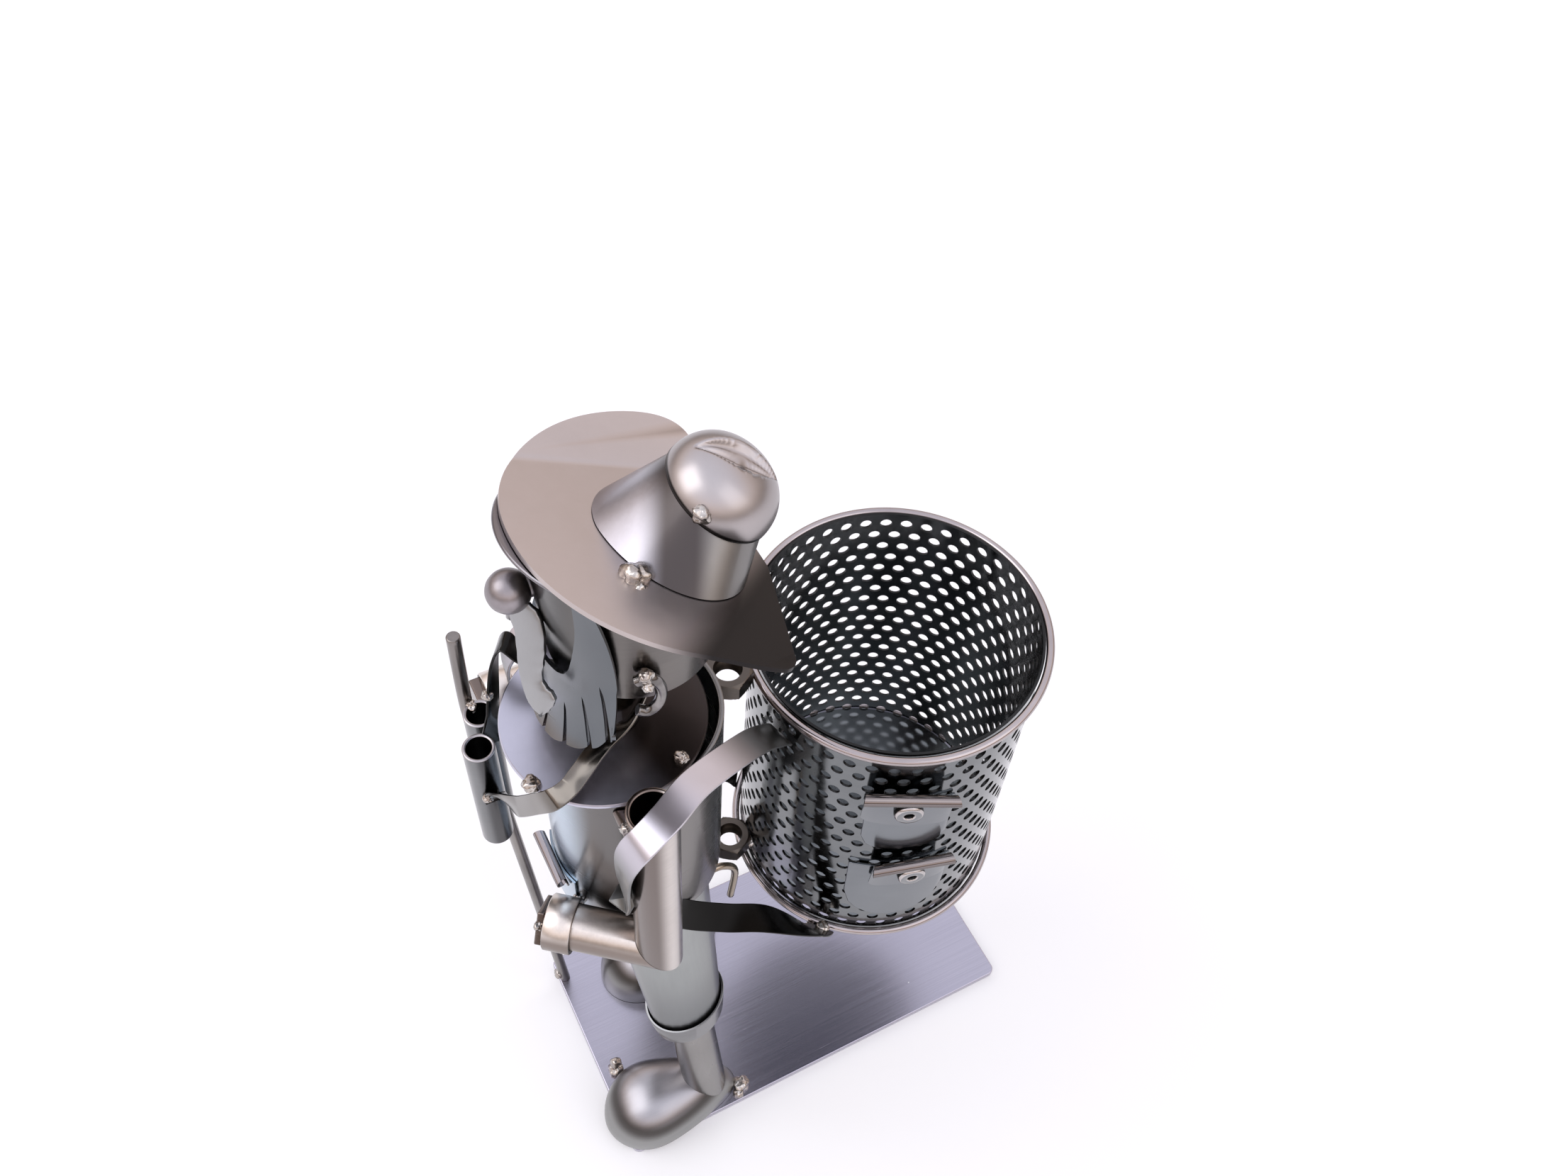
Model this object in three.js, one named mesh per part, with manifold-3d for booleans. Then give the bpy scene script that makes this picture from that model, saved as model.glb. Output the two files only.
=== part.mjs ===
import * as THREE from 'three';
import { mergeVertices } from 'three/addons/utils/BufferGeometryUtils.js';
import Module from 'manifold-3d';

const wasm = await Module();
wasm.setup();

// Sizes in millimetres, angles in degrees. +X is the figure's left, -Y its front, +Z is up.
// The origin is the middle of the underside of the base plate.

// Shared fits and stock
const GAP = 0.3; // clearance between pieces that are welded together
const SHEET = 1.0; // thickness of formed sheet
const TUBE_WALL = 1.5; // wall of the wide tubes
const ROUND = 48; // segments round a wide tube
const SMALL_ROUND = 28; // segments round a narrow tube

// Main heights: the legs carry the jacket, and the jacket carries the rest
const HEM_Z = 160; // jacket hem above the floor
const TORSO_HEIGHT = 82;

// Base plate
const PLATE_WIDTH = 86;
const PLATE_LENGTH = 164;
const PLATE_THICKNESS = 3;
const PLATE_CORNER = 3;

// Bottle basket
const BASKET_RADIUS = 44;
const BASKET_HEIGHT = 117;
const BASKET_DROP = 49; // lower edge of the basket below the jacket hem
const BASKET_BACK = 30; // basket axis behind the middle of the plate
const RIM_WIRE = 1.3; // radius of the rim wires
const FLOOR_LIFT = 3; // basket floor above the lower edge
const OPENING_RADIUS = 4.9; // round openings in the shell
const OPENINGS_AROUND = 12;
const OPENING_ROWS = 8;
const OPENING_MARGIN = 6; // plain sheet at each edge

// Nuts between the torso and the basket
const NUT_FLATS = 13;
const NUT_HOLE = 3.75;
const NUT_HEIGHT = 6.5;
const UPPER_NUT_SIDE = -5.5;
const UPPER_NUT_DROP = 2; // below the basket's top edge
const LOWER_NUT_ANGLE = -6.8; // round the basket from its front
const LOWER_NUT_LIFT = 10; // above the basket's lower edge

// Jacket torso
const TORSO_RADIUS = 25.8;
const HIP_LIFT = 5; // hip disc above the hem
const SHOULDER_RADIUS = 28;
const SHOULDER_FORWARD = 7.2;
const SHOULDER_THICKNESS = 1.5;

// Legs
const LEG_RADIUS = 8;
const LEG_WALL = 1.2;
const LEG_FOOT = 10; // lower end of the leg tube above the plate's underside
const HIP_SPREAD = 12.3;
const LEFT_ANKLE_SIDE = 33;
const LEFT_ANKLE_BACK = 8.8;
const RIGHT_ANKLE_SIDE = 27;
const RIGHT_ANKLE_BACK = 30;
const TROUSER_TOP_SIDE = 10.2; // oval half widths of a trouser leg
const TROUSER_TOP_DEEP = 17;
const TROUSER_HEM_SIDE = 11;
const TROUSER_HEM_DEEP = 12.6;
const TROUSER_HEM_Z = 78;
const TURN_UP_DROP = 5; // turn-up below and above the trouser hem
const TURN_UP_RISE = 5.5;

// Shoes: distance ahead of the ankle, half width and height of each cross-section
const SHOE_SECTIONS = [
  [39.5, 3.0, 5.0],
  [37.5, 8.0, 10.5],
  [33.0, 11.5, 15.5],
  [25.0, 13.0, 18.0],
  [14.0, 12.2, 16.5],
  [4.0, 11.3, 14.5],
  [-4.0, 10.5, 13.0],
  [-9.0, 8.5, 10.5],
  [-11.5, 4.0, 5.5],
];
const SHOE_ROUND = 20;

// Arms
const ARM_RADIUS = 7.0;
const ARM_WALL = 1.2;
const ARM_STAND_OFF = 2.7; // space between torso and arm for the strap
const ARM_FORWARD = 8.7;
const LEFT_ARM_RISE = 6.2; // arm top above the shoulder disc
const RIGHT_ARM_DROP = 12; // arm top below the shoulder disc
const LEFT_ELBOW_LIFT = 7; // elbow above the jacket hem
const LEFT_FOREARM = 34;
const LEFT_FOREARM_TURN = 35; // inward turn of the left forearm
const RIGHT_ELBOW_LIFT = 51;
const RIGHT_ARM_OUT = 3; // the right arm stands further out, clear of the binoculars
const RIGHT_HAND_THICKNESS = 4;
const SLEEVE_LENGTH = 13;
const HAND_THICKNESS = 2.2;
const HAND_WIDTH = 11;
const HAND_HEIGHT = 11;
const STUB_RADIUS = 3;
const STUB_DROP = 13.8; // below the shoulder disc
const STUB_FORWARD = 3;

// Jacket pocket, by angle from the front
const POCKET_HALF = 22;
const POCKET_DROP = 3; // lower edge below the jacket hem
const POCKET_HEIGHT = 18;
const POCKET_ROUND = 4;
const POCKET_FLAP_HALF = 25;
const POCKET_FLAP_DROP = 8; // flap below and above the pocket's top edge
const POCKET_FLAP_LIFT = 3;
const POCKET_FLAP_ROUND = 2;

// Walking stick: distance ahead of the torso axis and height above the jacket hem
const STICK_RADIUS = 2;
const STICK_SIDE = 33.8;
const STICK_PATH = [
  [31.2, -23],
  [34.1, 28],
  [36.2, 52],
  [36.6, 64],
  [35.9, 93.6],
];
const STICK_FOOT_FORWARD = 23.3;

// Binoculars
const BINO_RADIUS = 4.65;
const BINO_WALL = 1.0;
const BINO_LENGTH = 49;
const BINO_LIFT = 15.5; // lower end above the jacket hem
const RIGHT_BINO_FORWARD = 34.8;
const LEFT_BINO_SIDE = 16.3;
const LEFT_BINO_FORWARD = 38.8;

// Head
const HEAD_BACK = 2.3;
const HEAD_LIFT = 34.2; // lower edge above the shoulder disc
const HEAD_RISE = 36;
const HEAD_LOW_RADIUS = 21.5;
const HEAD_TOP_RADIUS = 24;
const FACE_TURN = 10; // the face looks to the figure's right
const NECK_RADIUS = 8;
const NECK_FORWARD = 5;
const BROW_RADIUS = 27.5;
const BROW_FORWARD = 17;
const BROW_SIDE = 2;
const NOSE_RADIUS = 5.2;
const NOSE_LIFT = 25; // above the head's lower edge

// Beard, by angle from the nose and height above the head's lower edge
const BEARD_HALF = 69;
const BEARD_SLITS = [
  [15, -10],
  [33, -7],
  [47, -1],
  [59, 8],
];
const BEARD_TIP_FRONT = -22;
const BEARD_TIP_SIDE = -13;
const LOCK_POINT = 1; // tip of a lock below the line of the tips
const LOCK_SHOULDER = 2; // corners of a lock above that line
const BEARD_END = 4; // outer corner above that line
const SLIT_HALF = 1.1;
const MOUTH_EDGE = 5;
const MOUTH_HALF = 29;
const CHEEK_LOW = [42, 16];
const CHEEK_HIGH = [51, 34];
const CHEEK_TOP = 40;

// Moustache lobe: height above the head's lower edge, inner and outer angle from the nose
const MOUSTACHE = [
  [18, 14, 21],
  [15, 8, 28],
  [11, 6, 33],
  [7, 11, 36],
  [3, 16, 37],
  [-2, 18, 35],
  [-6, 20, 33],
  [-10, 24, 34],
  [-13, 29, 34],
];
const MOUSTACHE_THICKNESS = 2.2;

// Ears
const EAR_ROD = 1.7;
const EAR_TALL = 7;
const EAR_DEEP = 4;
const EAR_LIFT = 6; // above the head's lower edge
const EAR_FROM = 60; // the ear is part of an upright loop
const EAR_TO = 300;
const EAR_STEP = 30;
const EAR_ANGLE = 84;

// Hat
const BRIM_SIDE = 46.8;
const BRIM_FRONT = 42.5;
const BRIM_REAR = 15.5;
const BRIM_LEFT_REAR = 5;
const BRIM_RIGHT_REAR = 19;
const BRIM_CORNER = 4;
const BRIM_THICKNESS = 1.2;
const BRIM_BACK = 15.7;
const BRIM_LIFT = 31; // above the head's lower edge
const BRIM_TILT = 20.6;
const BRIM_ROLL = 5.7;
const CROWN_BACK = 12.3;
const CROWN_LIFT = 28;
const CROWN_TILT = 33;
const CROWN_ROLL = 11;
const CROWN_LOW_RADIUS = 18.7;
const CROWN_TOP_RADIUS = 13.6;
const CROWN_HEIGHT = 20.9;
const CAP_RADIUS = 14.5;
const CAP_HEIGHT = 11.5;

// Straps
const STRAP_WIDTH = 9;
const STRAP_THICKNESS = 0.8;
const LEFT_STRAP_ANGLE = 14; // where it meets the basket, from the basket's front
const RIGHT_STRAP_ANGLE = 24;
const STRAP_LOW_ANGLE = 44;
const STRAP_DROP = 14; // upper end below the basket's top edge
const STRAP_TURN = 2; // first and last bend: round the basket, out from it and up
const STRAP_TOP_OUT = 5;
const STRAP_TOP_RISE = 7;
const STRAP_LOW_OUT = 4;
const STRAP_LOW_RISE = 6;
// Run over the arm: beyond and behind the arm's axis, above its top, direction across the band
const LEFT_STRAP_RUN = [
  [-13.5, 35, -10, 0.95, 0.25, 0],
  [-2.5, 10.5, 2, 0.95, 0.3, 0],
  [3.5, -4, 4.5, 0.95, 0.3, 0],
  [6, -11.5, -4, 0.95, 0.2, 0],
  [5, -14, -15, 0.98, 0, 0.1],
  [1.5, -13, -32, 0.8, -0.1, 0.5],
  [-6, -8.3, -51, 0, -0.2, 0.95],
];
const RIGHT_STRAP_RUN = [
  [-13.5, 35, -3.8, 0.95, 0.25, 0],
  [-2.5, 10.5, 3, 0.95, 0.3, 0],
  [-3, -4, 4, 0.95, 0.3, 0],
  [-5.5, -15, -3, 0.95, 0.2, 0],
  [-12, -15, -17.8, 0.98, 0, 0],
  [-12.5, -11, -33.8, 0.95, 0, 0.2],
  [-7, -8.3, -49.8, 0, -0.3, 0.95],
];
const ARMPIT_BACK = 2; // behind the arm's axis
const ARMPIT_LIFT = 20; // above the jacket hem
// Run from the armpit to the basket: out from the torso, behind its axis, above the hem
const STRAP_HEM = [2.4, 2.8, 3];
const STRAP_SPAN = [4.2, 30.3, -22];

// Neck strap: ends above the lower end of each binocular
const NECK_STRAP_WIDTH = 6;
const NECK_STRAP_LEFT_END = 27.5;
const NECK_STRAP_RIGHT_END = 40.5;
const NECK_STRAP_OUT = [0.8, 2.6, 5.5]; // first bend from the left end
// Run: side, ahead of the shoulder disc's front edge, above the disc, direction across the band
const NECK_STRAP_RUN = [
  [5, 5, -21.8, 0.5, -0.2, 0.8],
  [13, 2.5, -3.5, 0.9, 0.1, 0.2],
  [15.5, -3.5, 4, 0.95, 0.1, 0],
  [15, -11.2, 5, 0.95, 0.2, 0],
  [12.5, -20.2, 7.5, 0.95, 0.2, 0.1],
  [10.5, -32.2, 12, 0.6, 0, 0.7],
  [0, -41.7, 15, 0, 0.3, 0.95],
  [-10.5, -32.2, 12, -0.6, 0, 0.7],
  [-13.5, -21.2, 7.5, -0.95, 0.2, 0.1],
  [-19.5, -13.7, 11, -0.95, 0.3, 0],
  [-25, -10.2, 12.5, -0.8, 0.5, 0.1],
  [-27, -7.2, 3, -0.7, 0.6, 0.1],
  [-22.5, -3.2, -12.8, -0.5, 0.6, 0.3],
];

// Belt hook
const HOOK_RADIUS = 1.2;
const HOOK_SIDE = 14;
const HOOK_START = 17.9; // behind the torso axis, on the back of the trouser leg
const HOOK_DROP = 8; // upper end below the jacket hem
const HOOK_RUN = 5;
const HOOK_BEND = 7.5; // bend and lower end below the upper end
const HOOK_FALL = 25;
const HOOK_REACH = 9.5;

// Basket pockets, by angle from the basket's front and height above its lower edge
const UPPER_POCKET = { from: 52, to: 86, low: 62.5, high: 91, round: 7 };
const UPPER_FLAP = { from: 50.5, to: 85, low: 80.5, high: 96, round: 3 };
const UPPER_RIVET = { angle: 68.3, z: 88 };
const LOWER_POCKET = { from: 49.5, to: 92, low: 14.5, high: 50, round: 16 };
const LOWER_FLAP = { from: 58.5, to: 90, low: 40, high: 52, round: 2 };
const LOWER_RIVET = { angle: 74.5, z: 47 };
const RIVET_RADIUS = 4.4;
const RIVET_HEIGHT = 1.8;

// Places that follow from the sizes
const SOLE_Z = PLATE_THICKNESS + GAP;
const TORSO_TOP = HEM_Z + TORSO_HEIGHT;
const BASKET_BOTTOM = HEM_Z - BASKET_DROP;
const BASKET_TOP = BASKET_BOTTOM + BASKET_HEIGHT;
const RIM_REACH = BASKET_RADIUS + GAP + 2 * RIM_WIRE;
const TORSO_TO_BASKET = TORSO_RADIUS + GAP + NUT_FLATS + GAP + RIM_REACH;
const FIGURE_Y = BASKET_BACK - TORSO_TO_BASKET;
const HIP_Z = HEM_Z + HIP_LIFT;
const SHOULDER_TOP = TORSO_TOP + GAP + SHOULDER_THICKNESS;
const SHOULDER_FRONT = SHOULDER_FORWARD + SHOULDER_RADIUS;
const LEFT_ARM_TOP = SHOULDER_TOP + LEFT_ARM_RISE;
const RIGHT_ARM_TOP = SHOULDER_TOP - RIGHT_ARM_DROP;
const LEFT_ELBOW_Z = HEM_Z + LEFT_ELBOW_LIFT;
const RIGHT_ELBOW_Z = HEM_Z + RIGHT_ELBOW_LIFT;
const BINO_BOTTOM = HEM_Z + BINO_LIFT;
const HEAD_BOTTOM = SHOULDER_TOP + HEAD_LIFT;
const NOSE_Z = HEAD_BOTTOM + NOSE_LIFT;
const EAR_Z = HEAD_BOTTOM + EAR_LIFT;
const HOOK_TOP = HEM_Z - HOOK_DROP;
const ARM_X = TORSO_RADIUS + ARM_STAND_OFF + ARM_RADIUS;
const ARM_Y = -ARM_FORWARD;
const BEARD_RADIUS = HEAD_TOP_RADIUS + GAP;
const HAT_FRAME = new THREE.Matrix4()
  .makeRotationFromEuler(new THREE.Euler(rad(-BRIM_TILT), rad(-BRIM_ROLL), 0))
  .setPosition(0, BRIM_BACK, HEAD_BOTTOM + BRIM_LIFT);
const CROWN_FRAME = new THREE.Matrix4()
  .makeRotationFromEuler(new THREE.Euler(rad(-CROWN_TILT), rad(CROWN_ROLL), 0))
  .setPosition(0, CROWN_BACK, HEAD_BOTTOM + CROWN_LIFT);
const BROW_LOW = BRIM_THICKNESS / 2 + GAP + SHEET; // brow disc underside below the brim's middle
const CUTTER = 400; // edge of a block large enough to trim any piece

function rad(degrees) {
  return THREE.MathUtils.degToRad(degrees);
}

function vec(x, y, z) {
  return new THREE.Vector3(x, y, z);
}

// Point at an angle from the front (-Y) towards +X about a vertical axis.
function polar(angle, radius, z, axisY = 0) {
  return vec(radius * Math.sin(rad(angle)), axisY - radius * Math.cos(rad(angle)), z);
}

function solidOf(geometry) {
  const plain = geometry.clone();
  plain.deleteAttribute('normal');
  plain.deleteAttribute('uv');
  const merged = mergeVertices(plain, 1e-4);
  const source = merged.index.array;
  const kept = [];
  for (let i = 0; i < source.length; i += 3) {
    const [a, b, c] = [source[i], source[i + 1], source[i + 2]];
    if (a !== b && b !== c && c !== a) kept.push(a, b, c);
  }
  const vertProperties = Float32Array.from(merged.attributes.position.array);
  const triVerts = Uint32Array.from(kept);
  return new wasm.Manifold(new wasm.Mesh({ numProp: 3, vertProperties, triVerts }));
}

function geometryOf(solid) {
  const mesh = solid.getMesh();
  const geometry = new THREE.BufferGeometry();
  geometry.setAttribute('position', new THREE.BufferAttribute(Float32Array.from(mesh.vertProperties), 3));
  geometry.setIndex(new THREE.BufferAttribute(Uint32Array.from(mesh.triVerts), 1));
  geometry.computeVertexNormals();
  return geometry;
}

function cut(geometry, ...tools) {
  let solid = solidOf(geometry);
  for (const tool of tools) solid = solid.subtract(solidOf(tool));
  return geometryOf(solid);
}

function aim(geometry, from, to) {
  const direction = to.clone().sub(from).normalize();
  const turn = new THREE.Quaternion().setFromUnitVectors(vec(0, 0, 1), direction);
  geometry.applyQuaternion(turn);
  geometry.translate(from.x, from.y, from.z);
  return geometry;
}

// Removes everything on the side of the plane that the normal points to.
function trim(geometry, point, normal) {
  const block = new THREE.BoxGeometry(CUTTER, CUTTER, CUTTER);
  block.translate(0, 0, CUTTER / 2);
  return cut(geometry, aim(block, point, point.clone().add(normal)));
}

function turned(points, segments) {
  const profile = points.map(([r, z]) => new THREE.Vector2(r, z));
  const geometry = new THREE.LatheGeometry(profile, segments);
  geometry.rotateX(Math.PI / 2);
  return geometry;
}

function tube(outer, wall, length, segments = ROUND) {
  const inner = outer - wall;
  return turned([[inner, 0], [outer, 0], [outer, length], [inner, length], [inner, 0]], segments);
}

function cone(low, top, wall, height) {
  return turned([[low - wall, 0], [low, 0], [top, height], [top - wall, height], [low - wall, 0]], ROUND);
}

function bar(radius, length, segments = SMALL_ROUND) {
  const geometry = new THREE.CylinderGeometry(radius, radius, length, segments);
  geometry.rotateX(Math.PI / 2);
  geometry.translate(0, 0, length / 2);
  return geometry;
}

function rod(points, radius, steps) {
  const outline = new THREE.Shape();
  outline.absarc(0, 0, radius, 0, Math.PI * 2);
  const extrudePath = new THREE.CatmullRomCurve3(points);
  return new THREE.ExtrudeGeometry(outline, { steps, extrudePath, bevelEnabled: false, curveSegments: 5 });
}

// Skin over a row of loops, capped at both ends or closed round on itself.
function loft(loops, closed = false) {
  const count = loops[0].length;
  const spans = closed ? loops.length : loops.length - 1;
  const index = [];
  for (let i = 0; i < spans; i += 1) {
    const a = i * count;
    const b = ((i + 1) % loops.length) * count;
    for (let j = 0; j < count; j += 1) {
      const k = (j + 1) % count;
      index.push(a + j, a + k, b + k, a + j, b + k, b + j);
    }
  }
  const end = (loops.length - 1) * count;
  for (let j = 1; !closed && j + 1 < count; j += 1) {
    index.push(0, j + 1, j, end, end + j, end + j + 1);
  }
  const points = loops.flat();
  let volume = 0;
  for (let i = 0; i < index.length; i += 3) {
    volume += points[index[i]].dot(points[index[i + 1]].clone().cross(points[index[i + 2]]));
  }
  if (volume < 0) index.reverse();
  const geometry = new THREE.BufferGeometry();
  geometry.setAttribute('position', new THREE.Float32BufferAttribute(points.flatMap((p) => p.toArray()), 3));
  geometry.setIndex(index);
  geometry.computeVertexNormals();
  return geometry;
}

// Flat band through stations { at, across, width, thick }, from one share of its run to another.
function band(stations, steps, from = 0, to = 1) {
  const path = new THREE.CatmullRomCurve3(stations.map((s) => s.at));
  const across = new THREE.CatmullRomCurve3(stations.map((s) => s.across));
  const sizes = new THREE.CatmullRomCurve3(stations.map((s) => vec(s.width, s.thick, 0)));
  const loops = [];
  for (let i = 0; i <= steps; i += 1) {
    const u = from + ((to - from) * i) / steps;
    const at = path.getPoint(u);
    const along = path.getTangent(u);
    const size = sizes.getPoint(u);
    const side = across.getPoint(u);
    side.addScaledVector(along, -side.dot(along)).setLength(size.x / 2);
    const face = along.cross(side).setLength(size.y / 2);
    loops.push([
      at.clone().add(side).add(face),
      at.clone().sub(side).add(face),
      at.clone().sub(side).sub(face),
      at.clone().add(side).sub(face),
    ]);
  }
  return loft(loops);
}

// Sheet wrapped round a vertical axis through stations [angle, low, high].
function wrap(stations, radius, thickness, axisY = 0) {
  const loops = stations.map(([angle, low, high]) => [
    polar(angle, radius, low, axisY),
    polar(angle, radius + thickness, low, axisY),
    polar(angle, radius + thickness, high, axisY),
    polar(angle, radius, high, axisY),
  ]);
  return loft(loops);
}

// Stations of a pocket whose lower corners are rounded off.
function pocketStations({ from, to, low, high, round }, radius) {
  const corner = THREE.MathUtils.radToDeg(round / radius);
  const steps = 16;
  const stations = [];
  for (let i = 0; i <= steps; i += 1) {
    const angle = from + ((to - from) * i) / steps;
    const inset = Math.max(0, corner - (angle - from), corner - (to - angle)) / corner;
    const drop = round * (1 - Math.sqrt(Math.max(0, 1 - inset * inset)));
    stations.push([angle, low + drop, high]);
  }
  return stations;
}

function ovalRing(centre, side, deep) {
  const ring = [];
  for (let i = 0; i < SMALL_ROUND; i += 1) {
    const angle = (i / SMALL_ROUND) * Math.PI * 2;
    ring.push(vec(centre.x + side * Math.cos(angle), centre.y + deep * Math.sin(angle), centre.z));
  }
  return ring;
}

const STEEL = { color: 0x9a9298, roughness: 0.32, metalness: 1.0 };
const BRONZE = { color: 0x8c7c70, roughness: 0.3, metalness: 1.0 };
const BLACK_NICKEL = { color: 0x2c2c31, roughness: 0.28, metalness: 1.0 };
const DARK_BALL = { color: 0x2a1c16, roughness: 0.5, metalness: 0.6 };
const DARK_BRONZE = { color: 0x4d3f36, roughness: 0.4, metalness: 1.0 };

function add(group, name, geometry, finish) {
  const mesh = new THREE.Mesh(geometry, new THREE.MeshStandardMaterial(finish));
  mesh.name = name;
  group.add(mesh);
  return mesh;
}

const holder = new THREE.Group();
holder.name = 'bottle_holder';
const figure = new THREE.Group();
figure.name = 'figure';
figure.position.y = FIGURE_Y;
holder.add(figure);
const basket = new THREE.Group();
basket.name = 'basket';
basket.position.y = BASKET_BACK;
holder.add(basket);

// Base plate: one flat plate with slightly eased corners.
const plateShape = new THREE.Shape();
const halfWidth = PLATE_WIDTH / 2;
const halfLength = PLATE_LENGTH / 2;
const cornerX = halfWidth - PLATE_CORNER;
const cornerY = halfLength - PLATE_CORNER;
plateShape.absarc(cornerX, cornerY, PLATE_CORNER, 0, rad(90));
plateShape.absarc(-cornerX, cornerY, PLATE_CORNER, rad(90), rad(180));
plateShape.absarc(-cornerX, -cornerY, PLATE_CORNER, rad(180), rad(270));
plateShape.absarc(cornerX, -cornerY, PLATE_CORNER, rad(270), rad(360));
const plate = new THREE.ExtrudeGeometry(plateShape, {
  depth: PLATE_THICKNESS,
  bevelEnabled: false,
  curveSegments: 6,
});
add(holder, 'base_plate', plate, STEEL);

// Legs: a tube from the hip disc to the shoe inside an oval trouser cone with a turned-up cuff.
function leg(name, sign, ankleSide, ankleBack) {
  const foot = vec(sign * ankleSide, ankleBack, LEG_FOOT);
  const hip = vec(sign * HIP_SPREAD, 0, HIP_Z - GAP);
  const run = hip.clone().sub(foot);
  const lean = Math.hypot(run.x, run.y) / run.length();
  const top = foot.clone().addScaledVector(run, 1 - (LEG_RADIUS * lean) / run.length());
  const legTube = aim(tube(LEG_RADIUS, LEG_WALL, top.distanceTo(foot), SMALL_ROUND), foot, hip);
  add(figure, `${name}_lower_leg`, legTube, STEEL);

  const centreAt = (z) => foot.clone().addScaledVector(run, (z - foot.z) / run.z);
  const sizeAt = (z, grow) => {
    const share = (hip.z - z) / (hip.z - TROUSER_HEM_Z);
    const side = THREE.MathUtils.lerp(TROUSER_TOP_SIDE, TROUSER_HEM_SIDE, share) + grow;
    const deep = THREE.MathUtils.lerp(TROUSER_TOP_DEEP, TROUSER_HEM_DEEP, share) + grow;
    return [side, deep];
  };
  const ring = (z, grow) => ovalRing(centreAt(z), ...sizeAt(z, grow));
  const trouser = [
    ring(TROUSER_HEM_Z, 0),
    ring(hip.z, 0),
    ring(hip.z, -SHEET),
    ring(TROUSER_HEM_Z, -SHEET),
  ];
  add(figure, `${name}_trouser_leg`, loft(trouser, true), STEEL);
  const turnUpLow = TROUSER_HEM_Z - TURN_UP_DROP;
  const turnUpHigh = TROUSER_HEM_Z + TURN_UP_RISE;
  const turnUp = [
    ring(turnUpLow, GAP + SHEET),
    ring(turnUpHigh, GAP + SHEET),
    ring(turnUpHigh, GAP),
    ring(turnUpLow, GAP),
  ];
  add(figure, `${name}_trouser_cuff`, loft(turnUp, true), STEEL);

  const shoeLoops = SHOE_SECTIONS.map(([ahead, half, height]) => {
    const loop = [];
    for (let i = 0; i <= SHOE_ROUND; i += 1) {
      const angle = (i / SHOE_ROUND) * Math.PI;
      loop.push(vec(foot.x + half * Math.cos(angle), foot.y - ahead, SOLE_Z + height * Math.sin(angle)));
    }
    return loop;
  });
  const below = foot.clone().addScaledVector(run, -GAP / run.length());
  const socket = aim(bar(LEG_RADIUS + GAP, run.length() / 2), below, hip);
  add(figure, `${name}_shoe`, cut(loft(shoeLoops), socket), STEEL);
}
leg('left', 1, LEFT_ANKLE_SIDE, LEFT_ANKLE_BACK);
leg('right', -1, RIGHT_ANKLE_SIDE, RIGHT_ANKLE_BACK);

// Torso: a tube with the hip disc inside its hem and the shoulder disc on top.
const hipDisc = bar(TORSO_RADIUS - TUBE_WALL - GAP, SHEET, ROUND);
hipDisc.translate(0, 0, HIP_Z);
add(figure, 'hip_disc', hipDisc, STEEL);
const torso = tube(TORSO_RADIUS, TUBE_WALL, TORSO_TOP - HEM_Z);
torso.translate(0, 0, HEM_Z);
add(figure, 'jacket_torso', torso, BRONZE);
const shoulder = bar(SHOULDER_RADIUS, SHOULDER_THICKNESS, ROUND);
shoulder.translate(0, -SHOULDER_FORWARD, TORSO_TOP + GAP);
add(figure, 'shoulder_disc', shoulder, STEEL);

// Jacket pocket: a wrapped sheet with a flap that stands off it.
const pocketLow = HEM_Z - POCKET_DROP;
const pocketHigh = pocketLow + POCKET_HEIGHT;
const jacketPocket = {
  from: -POCKET_HALF,
  to: POCKET_HALF,
  low: pocketLow,
  high: pocketHigh,
  round: POCKET_ROUND,
};
const pocketRadius = TORSO_RADIUS + GAP;
add(figure, 'jacket_pocket', wrap(pocketStations(jacketPocket, pocketRadius), pocketRadius, SHEET), BRONZE);
const jacketFlap = {
  from: -POCKET_FLAP_HALF,
  to: POCKET_FLAP_HALF,
  low: pocketHigh - POCKET_FLAP_DROP,
  high: pocketHigh + POCKET_FLAP_LIFT,
  round: POCKET_FLAP_ROUND,
};
const flapRadius = pocketRadius + SHEET + GAP;
add(figure, 'jacket_pocket_flap', wrap(pocketStations(jacketFlap, flapRadius), flapRadius, SHEET), BRONZE);

// Walking stick: one bent rod standing on the plate.
const stickX = -STICK_SIDE;
const stickPoints = [vec(stickX, -STICK_FOOT_FORWARD, SOLE_Z)];
for (const [ahead, lift] of STICK_PATH) stickPoints.push(vec(stickX, -ahead, HEM_Z + lift));
const stickFloor = vec(stickX, -STICK_FOOT_FORWARD, SOLE_Z);
add(figure, 'walking_stick', trim(rod(stickPoints, STICK_RADIUS, 48), stickFloor, vec(0, 0, -1)), STEEL);
const stickCurve = new THREE.CatmullRomCurve3(stickPoints);
const nearHand = stickCurve.getPoints(200).filter((p) => Math.abs(p.z - RIGHT_ELBOW_Z) < HAND_HEIGHT);
const stickForwardAtHand = Math.min(...nearHand.map((p) => -p.y));

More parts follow.
